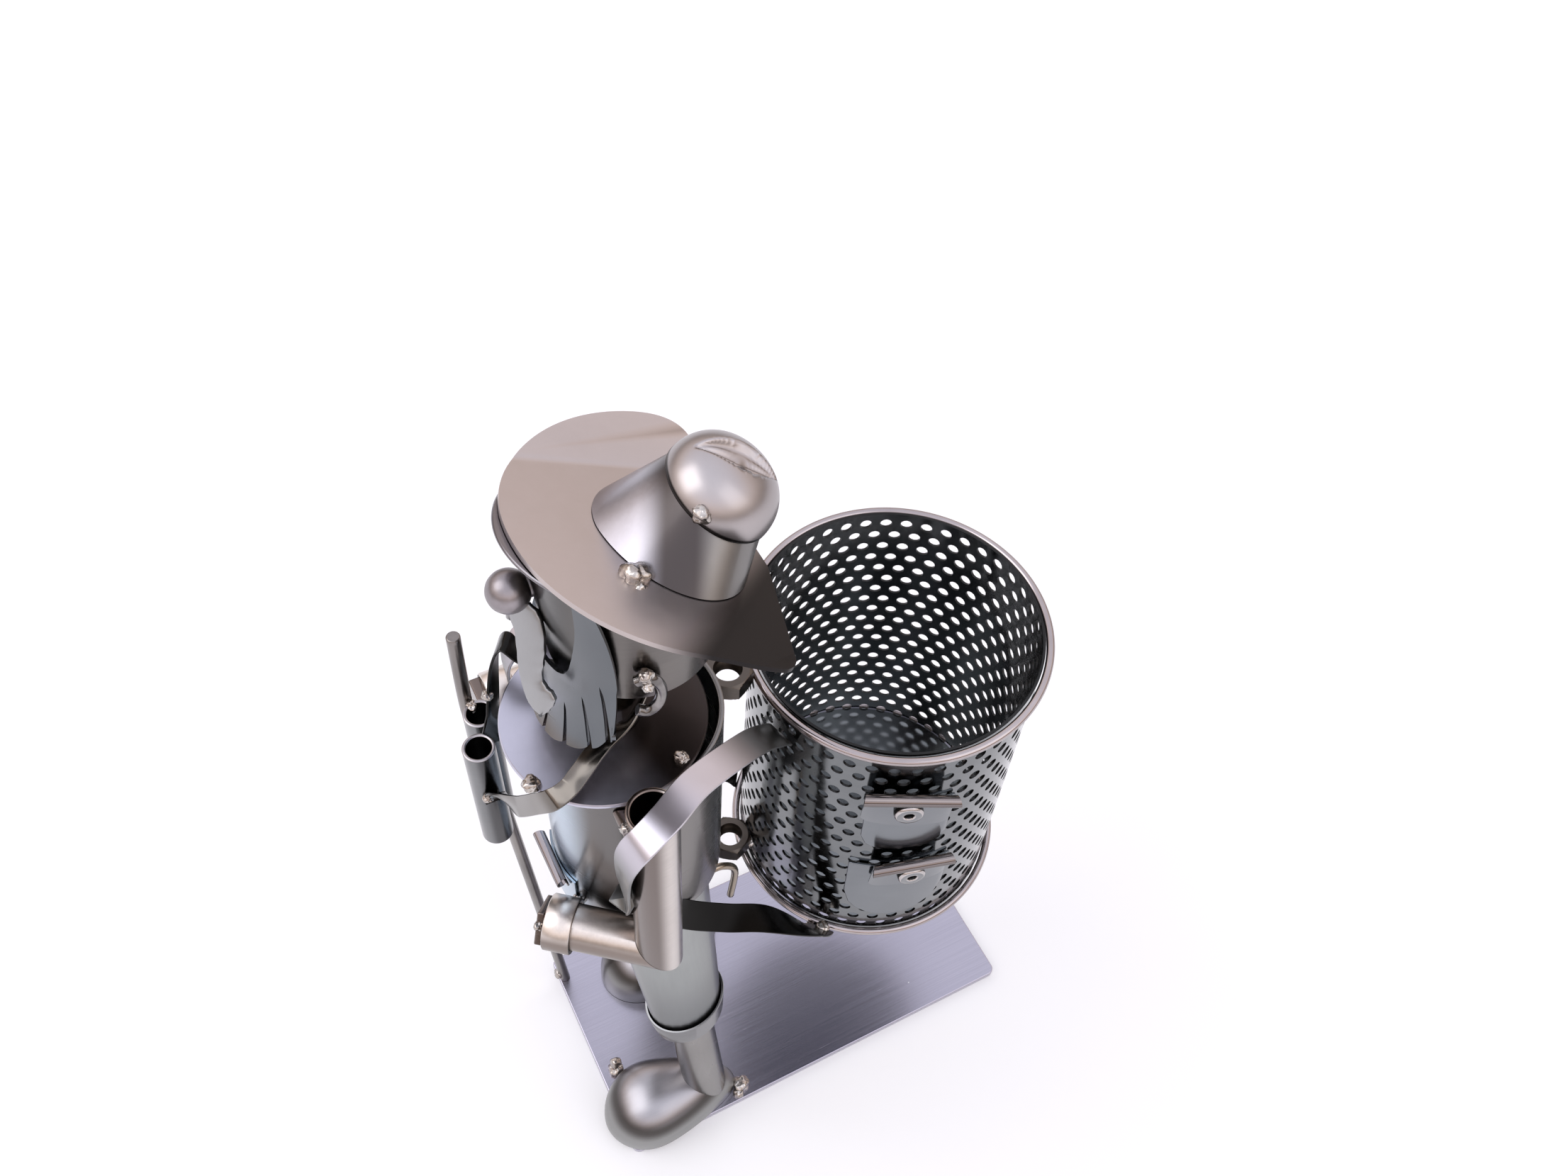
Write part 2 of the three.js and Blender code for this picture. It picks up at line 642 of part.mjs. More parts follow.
// Arms: two tubes mitred at the elbow, a sleeve ring and a small plate for the hand.
function arm(name, armX, topZ, elbowZ, direction, reach, handThickness) {
  const elbow = vec(armX, ARM_Y, elbowZ);
  const up = vec(0, 0, 1);
  const mitre = up.clone().sub(direction).normalize();
  const over = ARM_RADIUS * 2;
  const upperStart = elbow.clone().addScaledVector(up, -over);
  const upper = aim(tube(ARM_RADIUS, ARM_WALL, topZ - elbowZ + over, SMALL_ROUND), upperStart, elbow);
  const upperCut = elbow.clone().addScaledVector(mitre, GAP / 2);
  add(figure, `${name}_upper_arm`, trim(upper, upperCut, mitre.clone().negate()), BRONZE);
  const foreStart = elbow.clone().addScaledVector(direction, -over);
  const fore = aim(tube(ARM_RADIUS, ARM_WALL, reach + over, SMALL_ROUND), foreStart, elbow);
  const foreCut = elbow.clone().addScaledVector(mitre, -GAP / 2);
  add(figure, `${name}_forearm`, trim(fore, foreCut, mitre), BRONZE);
  const end = elbow.clone().addScaledVector(direction, reach);
  const sleeveLength = Math.min(SLEEVE_LENGTH, reach - ARM_RADIUS - 2 * SHEET - GAP);
  const sleeveStart = elbow.clone().addScaledVector(direction, reach - sleeveLength);
  const sleeve = tube(ARM_RADIUS + GAP + SHEET, SHEET, sleeveLength, SMALL_ROUND);
  add(figure, `${name}_sleeve_cuff`, aim(sleeve, sleeveStart, end), STEEL);
  const hand = new THREE.BoxGeometry(HAND_WIDTH, HAND_HEIGHT, handThickness);
  hand.translate(0, 0, GAP + handThickness / 2);
  add(figure, `${name}_hand`, aim(hand, end, end.clone().add(direction)), STEEL);

  const stubY = ARM_Y - STUB_FORWARD;
  const stubZ = Math.min(SHOULDER_TOP - STUB_DROP, topZ - 2 * STUB_RADIUS);
  const stub = aim(bar(STUB_RADIUS, Math.abs(armX)), vec(0, stubY, stubZ), vec(armX, stubY, stubZ));
  const torsoRoom = bar(TORSO_RADIUS + GAP, TORSO_TOP, ROUND);
  const armRoom = bar(ARM_RADIUS + GAP, TORSO_TOP);
  armRoom.translate(armX, ARM_Y, 0);
  add(figure, `${name}_arm_stub`, cut(stub, torsoRoom, armRoom), BRONZE);
}
const leftTurn = rad(LEFT_FOREARM_TURN);
const leftAim = vec(-Math.sin(leftTurn), -Math.cos(leftTurn), 0);
arm('left', ARM_X, LEFT_ARM_TOP, LEFT_ELBOW_Z, leftAim, LEFT_FOREARM, HAND_THICKNESS);
const rightReach = stickForwardAtHand - STICK_RADIUS - GAP - RIGHT_HAND_THICKNESS - GAP - ARM_FORWARD;
const rightX = -ARM_X - RIGHT_ARM_OUT;
arm('right', rightX, RIGHT_ARM_TOP, RIGHT_ELBOW_Z, vec(0, -1, 0), rightReach, RIGHT_HAND_THICKNESS);

// Binoculars: two plain tubes, one against the stick, hung on the neck strap.
const rightBinoX = -STICK_SIDE + STICK_RADIUS + GAP + BINO_RADIUS;
const rightBino = tube(BINO_RADIUS, BINO_WALL, BINO_LENGTH, SMALL_ROUND);
rightBino.translate(rightBinoX, -RIGHT_BINO_FORWARD, BINO_BOTTOM);
add(figure, 'right_binocular', rightBino, STEEL);
const leftBino = tube(BINO_RADIUS, BINO_WALL, BINO_LENGTH, SMALL_ROUND);
leftBino.translate(-LEFT_BINO_SIDE, -LEFT_BINO_FORWARD, BINO_BOTTOM);
add(figure, 'left_binocular', leftBino, STEEL);

// Neck: a tube from the shoulder disc up to the brow disc, inside the head.
const hatUp = vec(0, 0, 1).transformDirection(HAT_FRAME);
const underBrow = vec(0, 0, -BROW_LOW - GAP).applyMatrix4(HAT_FRAME);
const neckTube = tube(NECK_RADIUS, TUBE_WALL, CUTTER / 4, SMALL_ROUND);
neckTube.translate(0, -NECK_FORWARD, SHOULDER_TOP + GAP);
add(figure, 'neck', trim(neckTube, underBrow, hatUp), BRONZE);

// Head: a slightly flared tube cut off along the tilt of the hat, and the disc under the brim.
const headSlope = (HEAD_TOP_RADIUS - HEAD_LOW_RADIUS) / HEAD_RISE;
const headTall = HEAD_RISE * 2;
const headTube = cone(HEAD_LOW_RADIUS, HEAD_LOW_RADIUS + headSlope * headTall, TUBE_WALL, headTall);
headTube.translate(0, HEAD_BACK, HEAD_BOTTOM);
add(figure, 'head_tube', trim(headTube, underBrow, hatUp), BRONZE);
const brow = bar(BROW_RADIUS, SHEET, ROUND);
brow.translate(-BROW_SIDE, -BROW_FORWARD, -BROW_LOW);
brow.applyMatrix4(HAT_FRAME);
add(figure, 'brow_disc', brow, STEEL);

// Face: nose ball, split moustache, slit beard and ears, all turned a little to the right.
const facePoint = (angle, radius, z) => polar(angle - FACE_TURN, radius, z, HEAD_BACK);
const noseReach = HEAD_LOW_RADIUS + headSlope * (NOSE_Z + NOSE_RADIUS - HEAD_BOTTOM) + GAP + NOSE_RADIUS;
const nose = new THREE.SphereGeometry(NOSE_RADIUS, 24, 16);
const noseAt = facePoint(0, noseReach, NOSE_Z);
nose.translate(noseAt.x, noseAt.y, noseAt.z);
add(figure, 'nose_ball', nose, DARK_BALL);

const beardEdge = [];
const half = [];
let previous = 0;
const { lerp, mapLinear } = THREE.MathUtils;
const tipAt = (angle) => HEAD_BOTTOM + lerp(BEARD_TIP_FRONT, BEARD_TIP_SIDE, angle / BEARD_HALF);
for (const [angle, reach] of BEARD_SLITS) {
  half.push([(previous + angle) / 2, tipAt(angle) - LOCK_POINT]);
  half.push([angle - SLIT_HALF, tipAt(angle) + LOCK_SHOULDER]);
  half.push([angle, HEAD_BOTTOM + reach]);
  half.push([angle + SLIT_HALF, tipAt(angle) + LOCK_SHOULDER]);
  previous = angle;
}
half.push([(previous + BEARD_HALF) / 2, tipAt(BEARD_HALF)]);
half.push([BEARD_HALF, tipAt(BEARD_HALF) + BEARD_END]);
for (const corner of [MOUTH_HALF, CHEEK_LOW[0], CHEEK_HIGH[0]]) {
  half.push([corner, tipAt(corner)]);
}
half.sort((a, b) => a[0] - b[0]);
const topAt = (angle) => {
  const x = Math.abs(angle);
  if (x <= MOUTH_HALF) return HEAD_BOTTOM + MOUTH_EDGE;
  if (x <= CHEEK_LOW[0]) {
    return HEAD_BOTTOM + mapLinear(x, MOUTH_HALF, CHEEK_LOW[0], MOUTH_EDGE, CHEEK_LOW[1]);
  }
  if (x <= CHEEK_HIGH[0]) {
    return HEAD_BOTTOM + mapLinear(x, CHEEK_LOW[0], CHEEK_HIGH[0], CHEEK_LOW[1], CHEEK_HIGH[1]);
  }
  return HEAD_BOTTOM + mapLinear(x, CHEEK_HIGH[0], BEARD_HALF, CHEEK_HIGH[1], CHEEK_TOP);
};
for (const [angle, low] of half.slice().reverse()) beardEdge.push([-angle - FACE_TURN, low, topAt(angle)]);
for (const [angle, low] of half) beardEdge.push([angle - FACE_TURN, low, topAt(angle)]);
const beard = wrap(beardEdge, BEARD_RADIUS, SHEET, HEAD_BACK);
add(figure, 'beard', trim(beard, underBrow, hatUp), STEEL);

function moustache(name, sign) {
  const inner = BEARD_RADIUS + SHEET + GAP;
  const outer = inner + MOUSTACHE_THICKNESS;
  const loops = MOUSTACHE.map(([lift, from, to]) => {
    const z = HEAD_BOTTOM + lift;
    const middle = (from + to) / 2;
    return [
      facePoint(sign * from, inner, z),
      facePoint(sign * middle, inner, z),
      facePoint(sign * to, inner, z),
      facePoint(sign * to, outer, z),
      facePoint(sign * middle, outer, z),
      facePoint(sign * from, outer, z),
    ];
  });
  add(figure, name, loft(loops), STEEL);
}
moustache('left_moustache', 1);
moustache('right_moustache', -1);

function ear(name, sign) {
  const slack = EAR_ROD + GAP;
  const middle = HEAD_LOW_RADIUS + headSlope * (EAR_Z + EAR_TALL - HEAD_BOTTOM) + slack;
  const points = [];
  for (let turn = EAR_FROM; turn <= EAR_TO; turn += EAR_STEP) {
    const spread = THREE.MathUtils.radToDeg((EAR_DEEP * Math.cos(rad(turn))) / middle);
    const lift = EAR_TALL * Math.sin(rad(turn));
    points.push(facePoint(sign * (EAR_ANGLE - spread), middle, EAR_Z + lift));
  }
  add(figure, name, rod(points, EAR_ROD, 24), BRONZE);
}
ear('left_ear', 1);
ear('right_ear', -1);

// Hat: a flat brim cut straight at the rear, a leaning cone and a domed cap.
const brimShape = new THREE.Shape();
const rearAngle = (y) => Math.asin(y / BRIM_FRONT);
const rearX = (y) => BRIM_SIDE * Math.cos(rearAngle(y));
const leftSweep = rearAngle(BRIM_LEFT_REAR - BRIM_CORNER);
const rightSweep = rearAngle(BRIM_RIGHT_REAR - 3 * BRIM_CORNER);
const brimLeftX = rearX(BRIM_LEFT_REAR);
const brimRightX = rearX(BRIM_RIGHT_REAR);
brimShape.moveTo(-brimRightX + 2 * BRIM_CORNER, BRIM_RIGHT_REAR);
brimShape.quadraticCurveTo(-brimRightX - BRIM_CORNER / 2, BRIM_RIGHT_REAR, -BRIM_SIDE * Math.cos(rightSweep),
  BRIM_RIGHT_REAR - 3 * BRIM_CORNER);
brimShape.absellipse(0, 0, BRIM_SIDE, BRIM_FRONT, Math.PI - rightSweep, 2 * Math.PI + leftSweep, false);
const leftCornerY = BRIM_LEFT_REAR + BRIM_CORNER / 4;
brimShape.quadraticCurveTo(brimLeftX, BRIM_LEFT_REAR, brimLeftX - BRIM_CORNER, leftCornerY);
brimShape.lineTo(BRIM_REAR, BRIM_REAR);
const brim = new THREE.ExtrudeGeometry(brimShape, {
  depth: BRIM_THICKNESS,
  bevelEnabled: false,
  curveSegments: 30,
});
brim.translate(0, 0, -BRIM_THICKNESS / 2);
brim.applyMatrix4(HAT_FRAME);
add(figure, 'hat_brim', brim, STEEL);

const crownSlope = (CROWN_LOW_RADIUS - CROWN_TOP_RADIUS) / CROWN_HEIGHT;
const crownLow = CROWN_LOW_RADIUS + crownSlope * CROWN_HEIGHT;
const crown = cone(crownLow, CROWN_TOP_RADIUS, SHEET, 2 * CROWN_HEIGHT);
crown.translate(0, 0, -CROWN_HEIGHT);
crown.applyMatrix4(CROWN_FRAME);
const onBrim = vec(0, 0, BRIM_THICKNESS / 2 + GAP).applyMatrix4(HAT_FRAME);
add(figure, 'hat_crown', trim(crown, onBrim, hatUp.clone().negate()), BRONZE);
const capProfile = [];
const capSteps = 10;
for (let i = 0; i <= capSteps; i += 1) {
  const turn = rad((90 * i) / capSteps);
  capProfile.push([CAP_RADIUS * Math.cos(turn), CAP_HEIGHT * Math.sin(turn)]);
}
capProfile[capSteps][0] = 0;
for (let i = capSteps; i >= 0; i -= 1) {
  const turn = rad((90 * i) / capSteps);
  capProfile.push([(CAP_RADIUS - SHEET) * Math.cos(turn), (CAP_HEIGHT - SHEET) * Math.sin(turn)]);
}
capProfile[capSteps + 1][0] = 0;
capProfile.push([CAP_RADIUS, 0]);
const cap = turned(capProfile, SMALL_ROUND);
cap.translate(0, 0, CROWN_HEIGHT + GAP);
cap.applyMatrix4(CROWN_FRAME);
add(figure, 'hat_cap', cap, BRONZE);

// Neck strap: a band from one binocular over the shoulders and round the neck to the other.
const strapHalf = STRAP_THICKNESS / 2;
const leftBinoFace = -LEFT_BINO_SIDE + BINO_RADIUS + GAP + strapHalf;
const rightBinoFace = rightBinoX + BINO_RADIUS + GAP + strapHalf;
const neckSize = { width: NECK_STRAP_WIDTH, thick: STRAP_THICKNESS };
const leftEnd = vec(leftBinoFace, -LEFT_BINO_FORWARD, BINO_BOTTOM + NECK_STRAP_LEFT_END);
const [bendSide, bendAhead, bendRise] = NECK_STRAP_OUT;
const leftBend = leftEnd.clone().add(vec(bendSide, -bendAhead, bendRise));
const rightEnd = vec(rightBinoFace, -RIGHT_BINO_FORWARD, BINO_BOTTOM + NECK_STRAP_RIGHT_END);
const neckRun = NECK_STRAP_RUN.map(([side, ahead, rise, ...across]) => ({
  at: vec(side, -SHOULDER_FRONT - ahead, SHOULDER_TOP + rise),
  across: vec(...across),
}));
const neckBand = [
  { at: leftEnd, across: vec(0, 0.9, 0.45) },
  { at: leftBend, across: vec(0, 0.9, 0.45) },
  ...neckRun,
  { at: rightEnd, across: vec(0, 1, 0) },
].map((s) => ({ ...s, ...neckSize }));
add(figure, 'neck_strap', band(neckBand, 72), BLACK_NICKEL);

// Shoulder straps: bands from the basket's top over the shoulder, under the arm, to its lower rim.
const strapSize = { width: STRAP_WIDTH, thick: STRAP_THICKNESS };
function shoulderStrap(name, sign, topAngle, run, armTop) {
  const shellReach = BASKET_RADIUS + GAP + strapHalf;
  const ringReach = RIM_REACH + GAP + strapHalf;
  const flip = (p) => vec(sign * p.x, p.y, p.z);
  const onBasket = (angle, reach, z) => flip(polar(angle, reach, z, TORSO_TO_BASKET));
  const tangent = (angle) => flip(vec(Math.cos(rad(angle)), Math.sin(rad(angle)), 0));
  const topTangent = tangent(topAngle);
  const lowTangent = tangent(STRAP_LOW_ANGLE);
  const topZ = BASKET_TOP - STRAP_DROP;
  const ringZ = BASKET_BOTTOM + RIM_WIRE;
  const armpitY = ARM_Y + ARMPIT_BACK;
  const armpitX = (Math.sqrt(TORSO_RADIUS ** 2 - armpitY ** 2) + ARM_X - ARM_RADIUS) / 2 + strapHalf;
  const besideTorso = ([out, back, lift]) => flip(vec(TORSO_RADIUS + out, back, HEM_Z + lift));
  const overArm = run.map(([out, back, rise, ...across]) => ({
    at: flip(vec(ARM_X + out, ARM_Y + back, armTop + rise)),
    across: flip(vec(...across)),
  }));
  const stations = [
    { at: onBasket(topAngle, shellReach, topZ), across: topTangent },
    {
      at: onBasket(topAngle + STRAP_TURN, shellReach + STRAP_TOP_OUT, topZ + STRAP_TOP_RISE),
      across: topTangent,
    },
    ...overArm,
    { at: flip(vec(armpitX, armpitY, HEM_Z + ARMPIT_LIFT)), across: vec(0, -0.3, 0.95) },
    { at: besideTorso(STRAP_HEM), across: vec(0, 0, 1) },
    { at: besideTorso(STRAP_SPAN), across: flip(vec(0.95, 0.2, 0.2)) },
    {
      at: onBasket(STRAP_LOW_ANGLE - STRAP_TURN, ringReach + STRAP_LOW_OUT, ringZ + STRAP_LOW_RISE),
      across: lowTangent,
    },
    { at: onBasket(STRAP_LOW_ANGLE, ringReach, ringZ), across: lowTangent },
  ].map((s) => ({ ...s, ...strapSize }));
  const split = (1.5 + run.length) / (stations.length - 1);
  const seam = 0.001;
  add(figure, `${name}_shoulder_strap`, band(stations, 64, 0, split - seam), BLACK_NICKEL);
  add(figure, `${name}_lower_strap`, band(stations, 40, split + seam, 1), BLACK_NICKEL);
}
shoulderStrap('left', 1, LEFT_STRAP_ANGLE, LEFT_STRAP_RUN, LEFT_ARM_TOP);
shoulderStrap('right', -1, RIGHT_STRAP_ANGLE, RIGHT_STRAP_RUN, SHOULDER_TOP);

// Nuts: hexagonal, standing upright between the torso and the basket.
function nut(name, x, y, z) {
  const corner = NUT_FLATS / Math.sqrt(3);
  const outline = new THREE.Shape();
  for (let i = 0; i < 6; i += 1) {
    const point = [corner * Math.cos(rad(60 * i)), corner * Math.sin(rad(60 * i))];
    if (i === 0) outline.moveTo(...point);
    else outline.lineTo(...point);
  }
  outline.closePath();
  const bore = new THREE.Path();
  bore.absarc(0, 0, NUT_HOLE, 0, Math.PI * 2);
  outline.holes.push(bore);
  const body = new THREE.ExtrudeGeometry(outline, {
    depth: NUT_HEIGHT,
    bevelEnabled: false,
    curveSegments: 16,
  });
  const mesh = add(figure, name, body, DARK_BRONZE);
  mesh.position.set(x, y, z);
  return mesh;
}
const nutY = TORSO_RADIUS + GAP + NUT_FLATS / 2;
nut('upper_nut', UPPER_NUT_SIDE, nutY, BASKET_TOP - UPPER_NUT_DROP);
const lowNutReach = BASKET_RADIUS + GAP + NUT_FLATS / 2;
const lowNutZ = BASKET_BOTTOM + LOWER_NUT_LIFT;
const lowNut = polar(LOWER_NUT_ANGLE, lowNutReach, lowNutZ, TORSO_TO_BASKET);
const lowNutMesh = nut('lower_nut', lowNut.x, lowNut.y, lowNut.z);
lowNutMesh.rotation.z = rad(LOWER_NUT_ANGLE);

// Belt hook: a bent rod on the back of the trouser leg, below the jacket hem.
const hookPoints = [
  vec(HOOK_SIDE, HOOK_START, HOOK_TOP),
  vec(HOOK_SIDE, HOOK_START + HOOK_RUN, HOOK_TOP - HOOK_RADIUS / 2),
  vec(HOOK_SIDE, HOOK_START + HOOK_REACH, HOOK_TOP - HOOK_BEND),
  vec(HOOK_SIDE, HOOK_START + HOOK_REACH - HOOK_RADIUS, HOOK_TOP - HOOK_FALL),
];
add(figure, 'belt_hook', rod(hookPoints, HOOK_RADIUS, 20), STEEL);

// Basket: rolled perforated shell with a floor disc and a wire round each edge.
const shell = tube(BASKET_RADIUS, SHEET, BASKET_HEIGHT);
shell.translate(0, 0, BASKET_BOTTOM);
const punches = [];
const openingPitch = (BASKET_HEIGHT - 2 * OPENING_MARGIN) / OPENING_ROWS;
for (let row = 0; row < OPENING_ROWS; row += 1) {
  const z = BASKET_BOTTOM + OPENING_MARGIN + (row + 0.5) * openingPitch;
  for (let i = 0; i < OPENINGS_AROUND; i += 1) {
    const angle = ((i + 0.5) * 360) / OPENINGS_AROUND;
    const punch = bar(OPENING_RADIUS, 6 * SHEET, 10);
    const inside = polar(angle, BASKET_RADIUS - 4 * SHEET, z);
    punches.push(aim(punch, inside, polar(angle, BASKET_RADIUS + 2 * SHEET, z)));
  }
}
add(basket, 'basket_shell', cut(shell, ...punches), BLACK_NICKEL);
const floor = bar(BASKET_RADIUS - SHEET - GAP, SHEET, ROUND);
floor.translate(0, 0, BASKET_BOTTOM + FLOOR_LIFT);
add(basket, 'basket_floor', floor, BLACK_NICKEL);
const rimRadius = BASKET_RADIUS + GAP + RIM_WIRE;
const topRim = new THREE.TorusGeometry(rimRadius, RIM_WIRE, 8, 60);
topRim.translate(0, 0, BASKET_TOP - RIM_WIRE);
add(basket, 'basket_top_rim', topRim, BLACK_NICKEL);
const bottomRim = new THREE.TorusGeometry(rimRadius, RIM_WIRE, 8, 60);
bottomRim.translate(0, 0, BASKET_BOTTOM + RIM_WIRE);
add(basket, 'basket_bottom_rim', bottomRim, BLACK_NICKEL);

// Basket pockets: wrapped sheet, a flap over it and a domed rivet.
function basketPocket(name, body, flap, rivet) {
  const bodyRadius = BASKET_RADIUS + GAP;
  const overRadius = bodyRadius + SHEET + GAP;
  const place = (piece) => {
    piece.translate(0, 0, BASKET_BOTTOM);
    return piece;
  };
  const pocket = wrap(pocketStations(body, bodyRadius), bodyRadius, SHEET);
  add(basket, `${name}_pocket`, place(pocket), BLACK_NICKEL);
  const cover = wrap(pocketStations(flap, overRadius), overRadius, SHEET);
  add(basket, `${name}_pocket_flap`, place(cover), BLACK_NICKEL);
  const dome = turned([
    [0, 0],
    [RIVET_RADIUS, 0],
    [RIVET_RADIUS, RIVET_HEIGHT / 2],
    [RIVET_RADIUS / 2, RIVET_HEIGHT],
    [0, RIVET_HEIGHT],
  ], SMALL_ROUND);
  const reach = overRadius + SHEET + GAP;
  const foot = polar(rivet.angle, reach, rivet.z);
  const ahead = polar(rivet.angle, reach + RIVET_HEIGHT, rivet.z);
  add(basket, `${name}_pocket_rivet`, place(aim(dome, foot, ahead)), DARK_BRONZE);
}
basketPocket('upper', UPPER_POCKET, UPPER_FLAP, UPPER_RIVET);
basketPocket('lower', LOWER_POCKET, LOWER_FLAP, LOWER_RIVET);

export default holder;
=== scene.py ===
from math import atan2, cos, degrees, hypot, pi, radians, sin, sqrt

import bmesh
import bpy
from mathutils import Matrix, Vector, noise


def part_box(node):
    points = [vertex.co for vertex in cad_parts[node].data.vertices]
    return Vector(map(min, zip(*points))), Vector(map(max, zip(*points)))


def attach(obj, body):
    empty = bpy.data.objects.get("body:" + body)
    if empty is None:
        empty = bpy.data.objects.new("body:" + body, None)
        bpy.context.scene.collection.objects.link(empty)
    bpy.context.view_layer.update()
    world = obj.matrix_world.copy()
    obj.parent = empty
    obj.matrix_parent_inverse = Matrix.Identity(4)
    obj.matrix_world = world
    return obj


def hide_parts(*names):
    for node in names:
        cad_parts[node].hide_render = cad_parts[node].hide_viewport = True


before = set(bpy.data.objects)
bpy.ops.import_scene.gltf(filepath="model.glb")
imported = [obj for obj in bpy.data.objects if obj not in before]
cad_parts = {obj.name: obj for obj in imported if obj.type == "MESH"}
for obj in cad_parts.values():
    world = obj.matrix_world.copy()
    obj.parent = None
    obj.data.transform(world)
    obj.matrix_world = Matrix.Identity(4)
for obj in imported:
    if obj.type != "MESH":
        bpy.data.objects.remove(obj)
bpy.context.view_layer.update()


# Base plate: one flat piece of sheet steel that everything stands on. It is cut to size with
# eased corners, brushed along its length and clear lacquered. Pieces are drawn in millimetres
# and brought to metres when they are fastened to the frame.
MM = 0.001


def wired(tree, kind, inputs, **settings):
    """Adds a shader node to a tree; each input is a value or the output it is linked to."""
    node = tree.nodes.new("ShaderNode" + kind)
    for name, value in settings.items():
        setattr(node, name, value)
    for name, value in inputs.items():
        if isinstance(value, bpy.types.NodeSocket):
            tree.links.new(value, node.inputs[name])
        else:
            node.inputs[name].default_value = value
    return node


def mixed(tree, under, over, factor, blend="MIX"):
    """Lays one colour over another and gives back the result's socket."""
    node = wired(tree, "Mix", {}, data_type="RGBA", blend_type=blend)
    for name, value in (("Factor", factor), ("A", under), ("B", over)):
        if isinstance(value, bpy.types.NodeSocket):
            tree.links.new(value, node.inputs[name])
        else:
            node.inputs[name].default_value = value
    return node.outputs["Result"]


def brushed_grain():
    """Node group: streaks left by the brush, soft clouds in the lacquer and rare specks of dust."""
    group = bpy.data.node_groups.new("brushed_grain", "ShaderNodeTree")
    for name, kind in (("Vector", "Vector"), ("Stretch", "Vector"), ("Cloud Size", "Float")):
        group.interface.new_socket(name, in_out="INPUT", socket_type="NodeSocket" + kind)
    for name in ("Streaks", "Clouds", "Dust"):
        group.interface.new_socket(name, in_out="OUTPUT", socket_type="NodeSocketFloat")
    entry, leave = group.nodes.new("NodeGroupInput"), group.nodes.new("NodeGroupOutput")
    place = entry.outputs["Vector"]
    stretched = wired(group, "VectorMath", {0: place, 1: entry.outputs["Stretch"]}, operation="MULTIPLY")
    streaks = wired(group, "TexNoise", {"Vector": stretched.outputs["Vector"], "Scale": 1.0, "Detail": 4.0,
                                        "Roughness": 0.62})
    clouds = wired(group, "TexNoise", {"Vector": place, "Scale": entry.outputs["Cloud Size"], "Detail": 3.0,
                                       "Roughness": 0.5})
    specks = wired(group, "TexVoronoi", {"Vector": place, "Scale": 160.0})
    near = wired(group, "MapRange", {"Value": specks.outputs["Distance"], "From Min": 0.055, "From Max": 0.035})
    chance = wired(group, "SeparateColor", {"Color": specks.outputs["Color"]})
    rare = wired(group, "Math", {0: chance.outputs["Red"], 1: 0.93}, operation="GREATER_THAN")
    dust = wired(group, "Math", {0: near.outputs["Result"], 1: rare.outputs["Value"]}, operation="MULTIPLY")
    group.links.new(streaks.outputs["Fac"], leave.inputs["Streaks"])
    group.links.new(clouds.outputs["Fac"], leave.inputs["Clouds"])
    group.links.new(dust.outputs["Value"], leave.inputs["Dust"])
    return group


GRAIN = brushed_grain()
DUST_COLOUR = (0.85, 0.84, 0.83, 1)
POLISHED = {"marks": 0.02, "bump": 0.01}


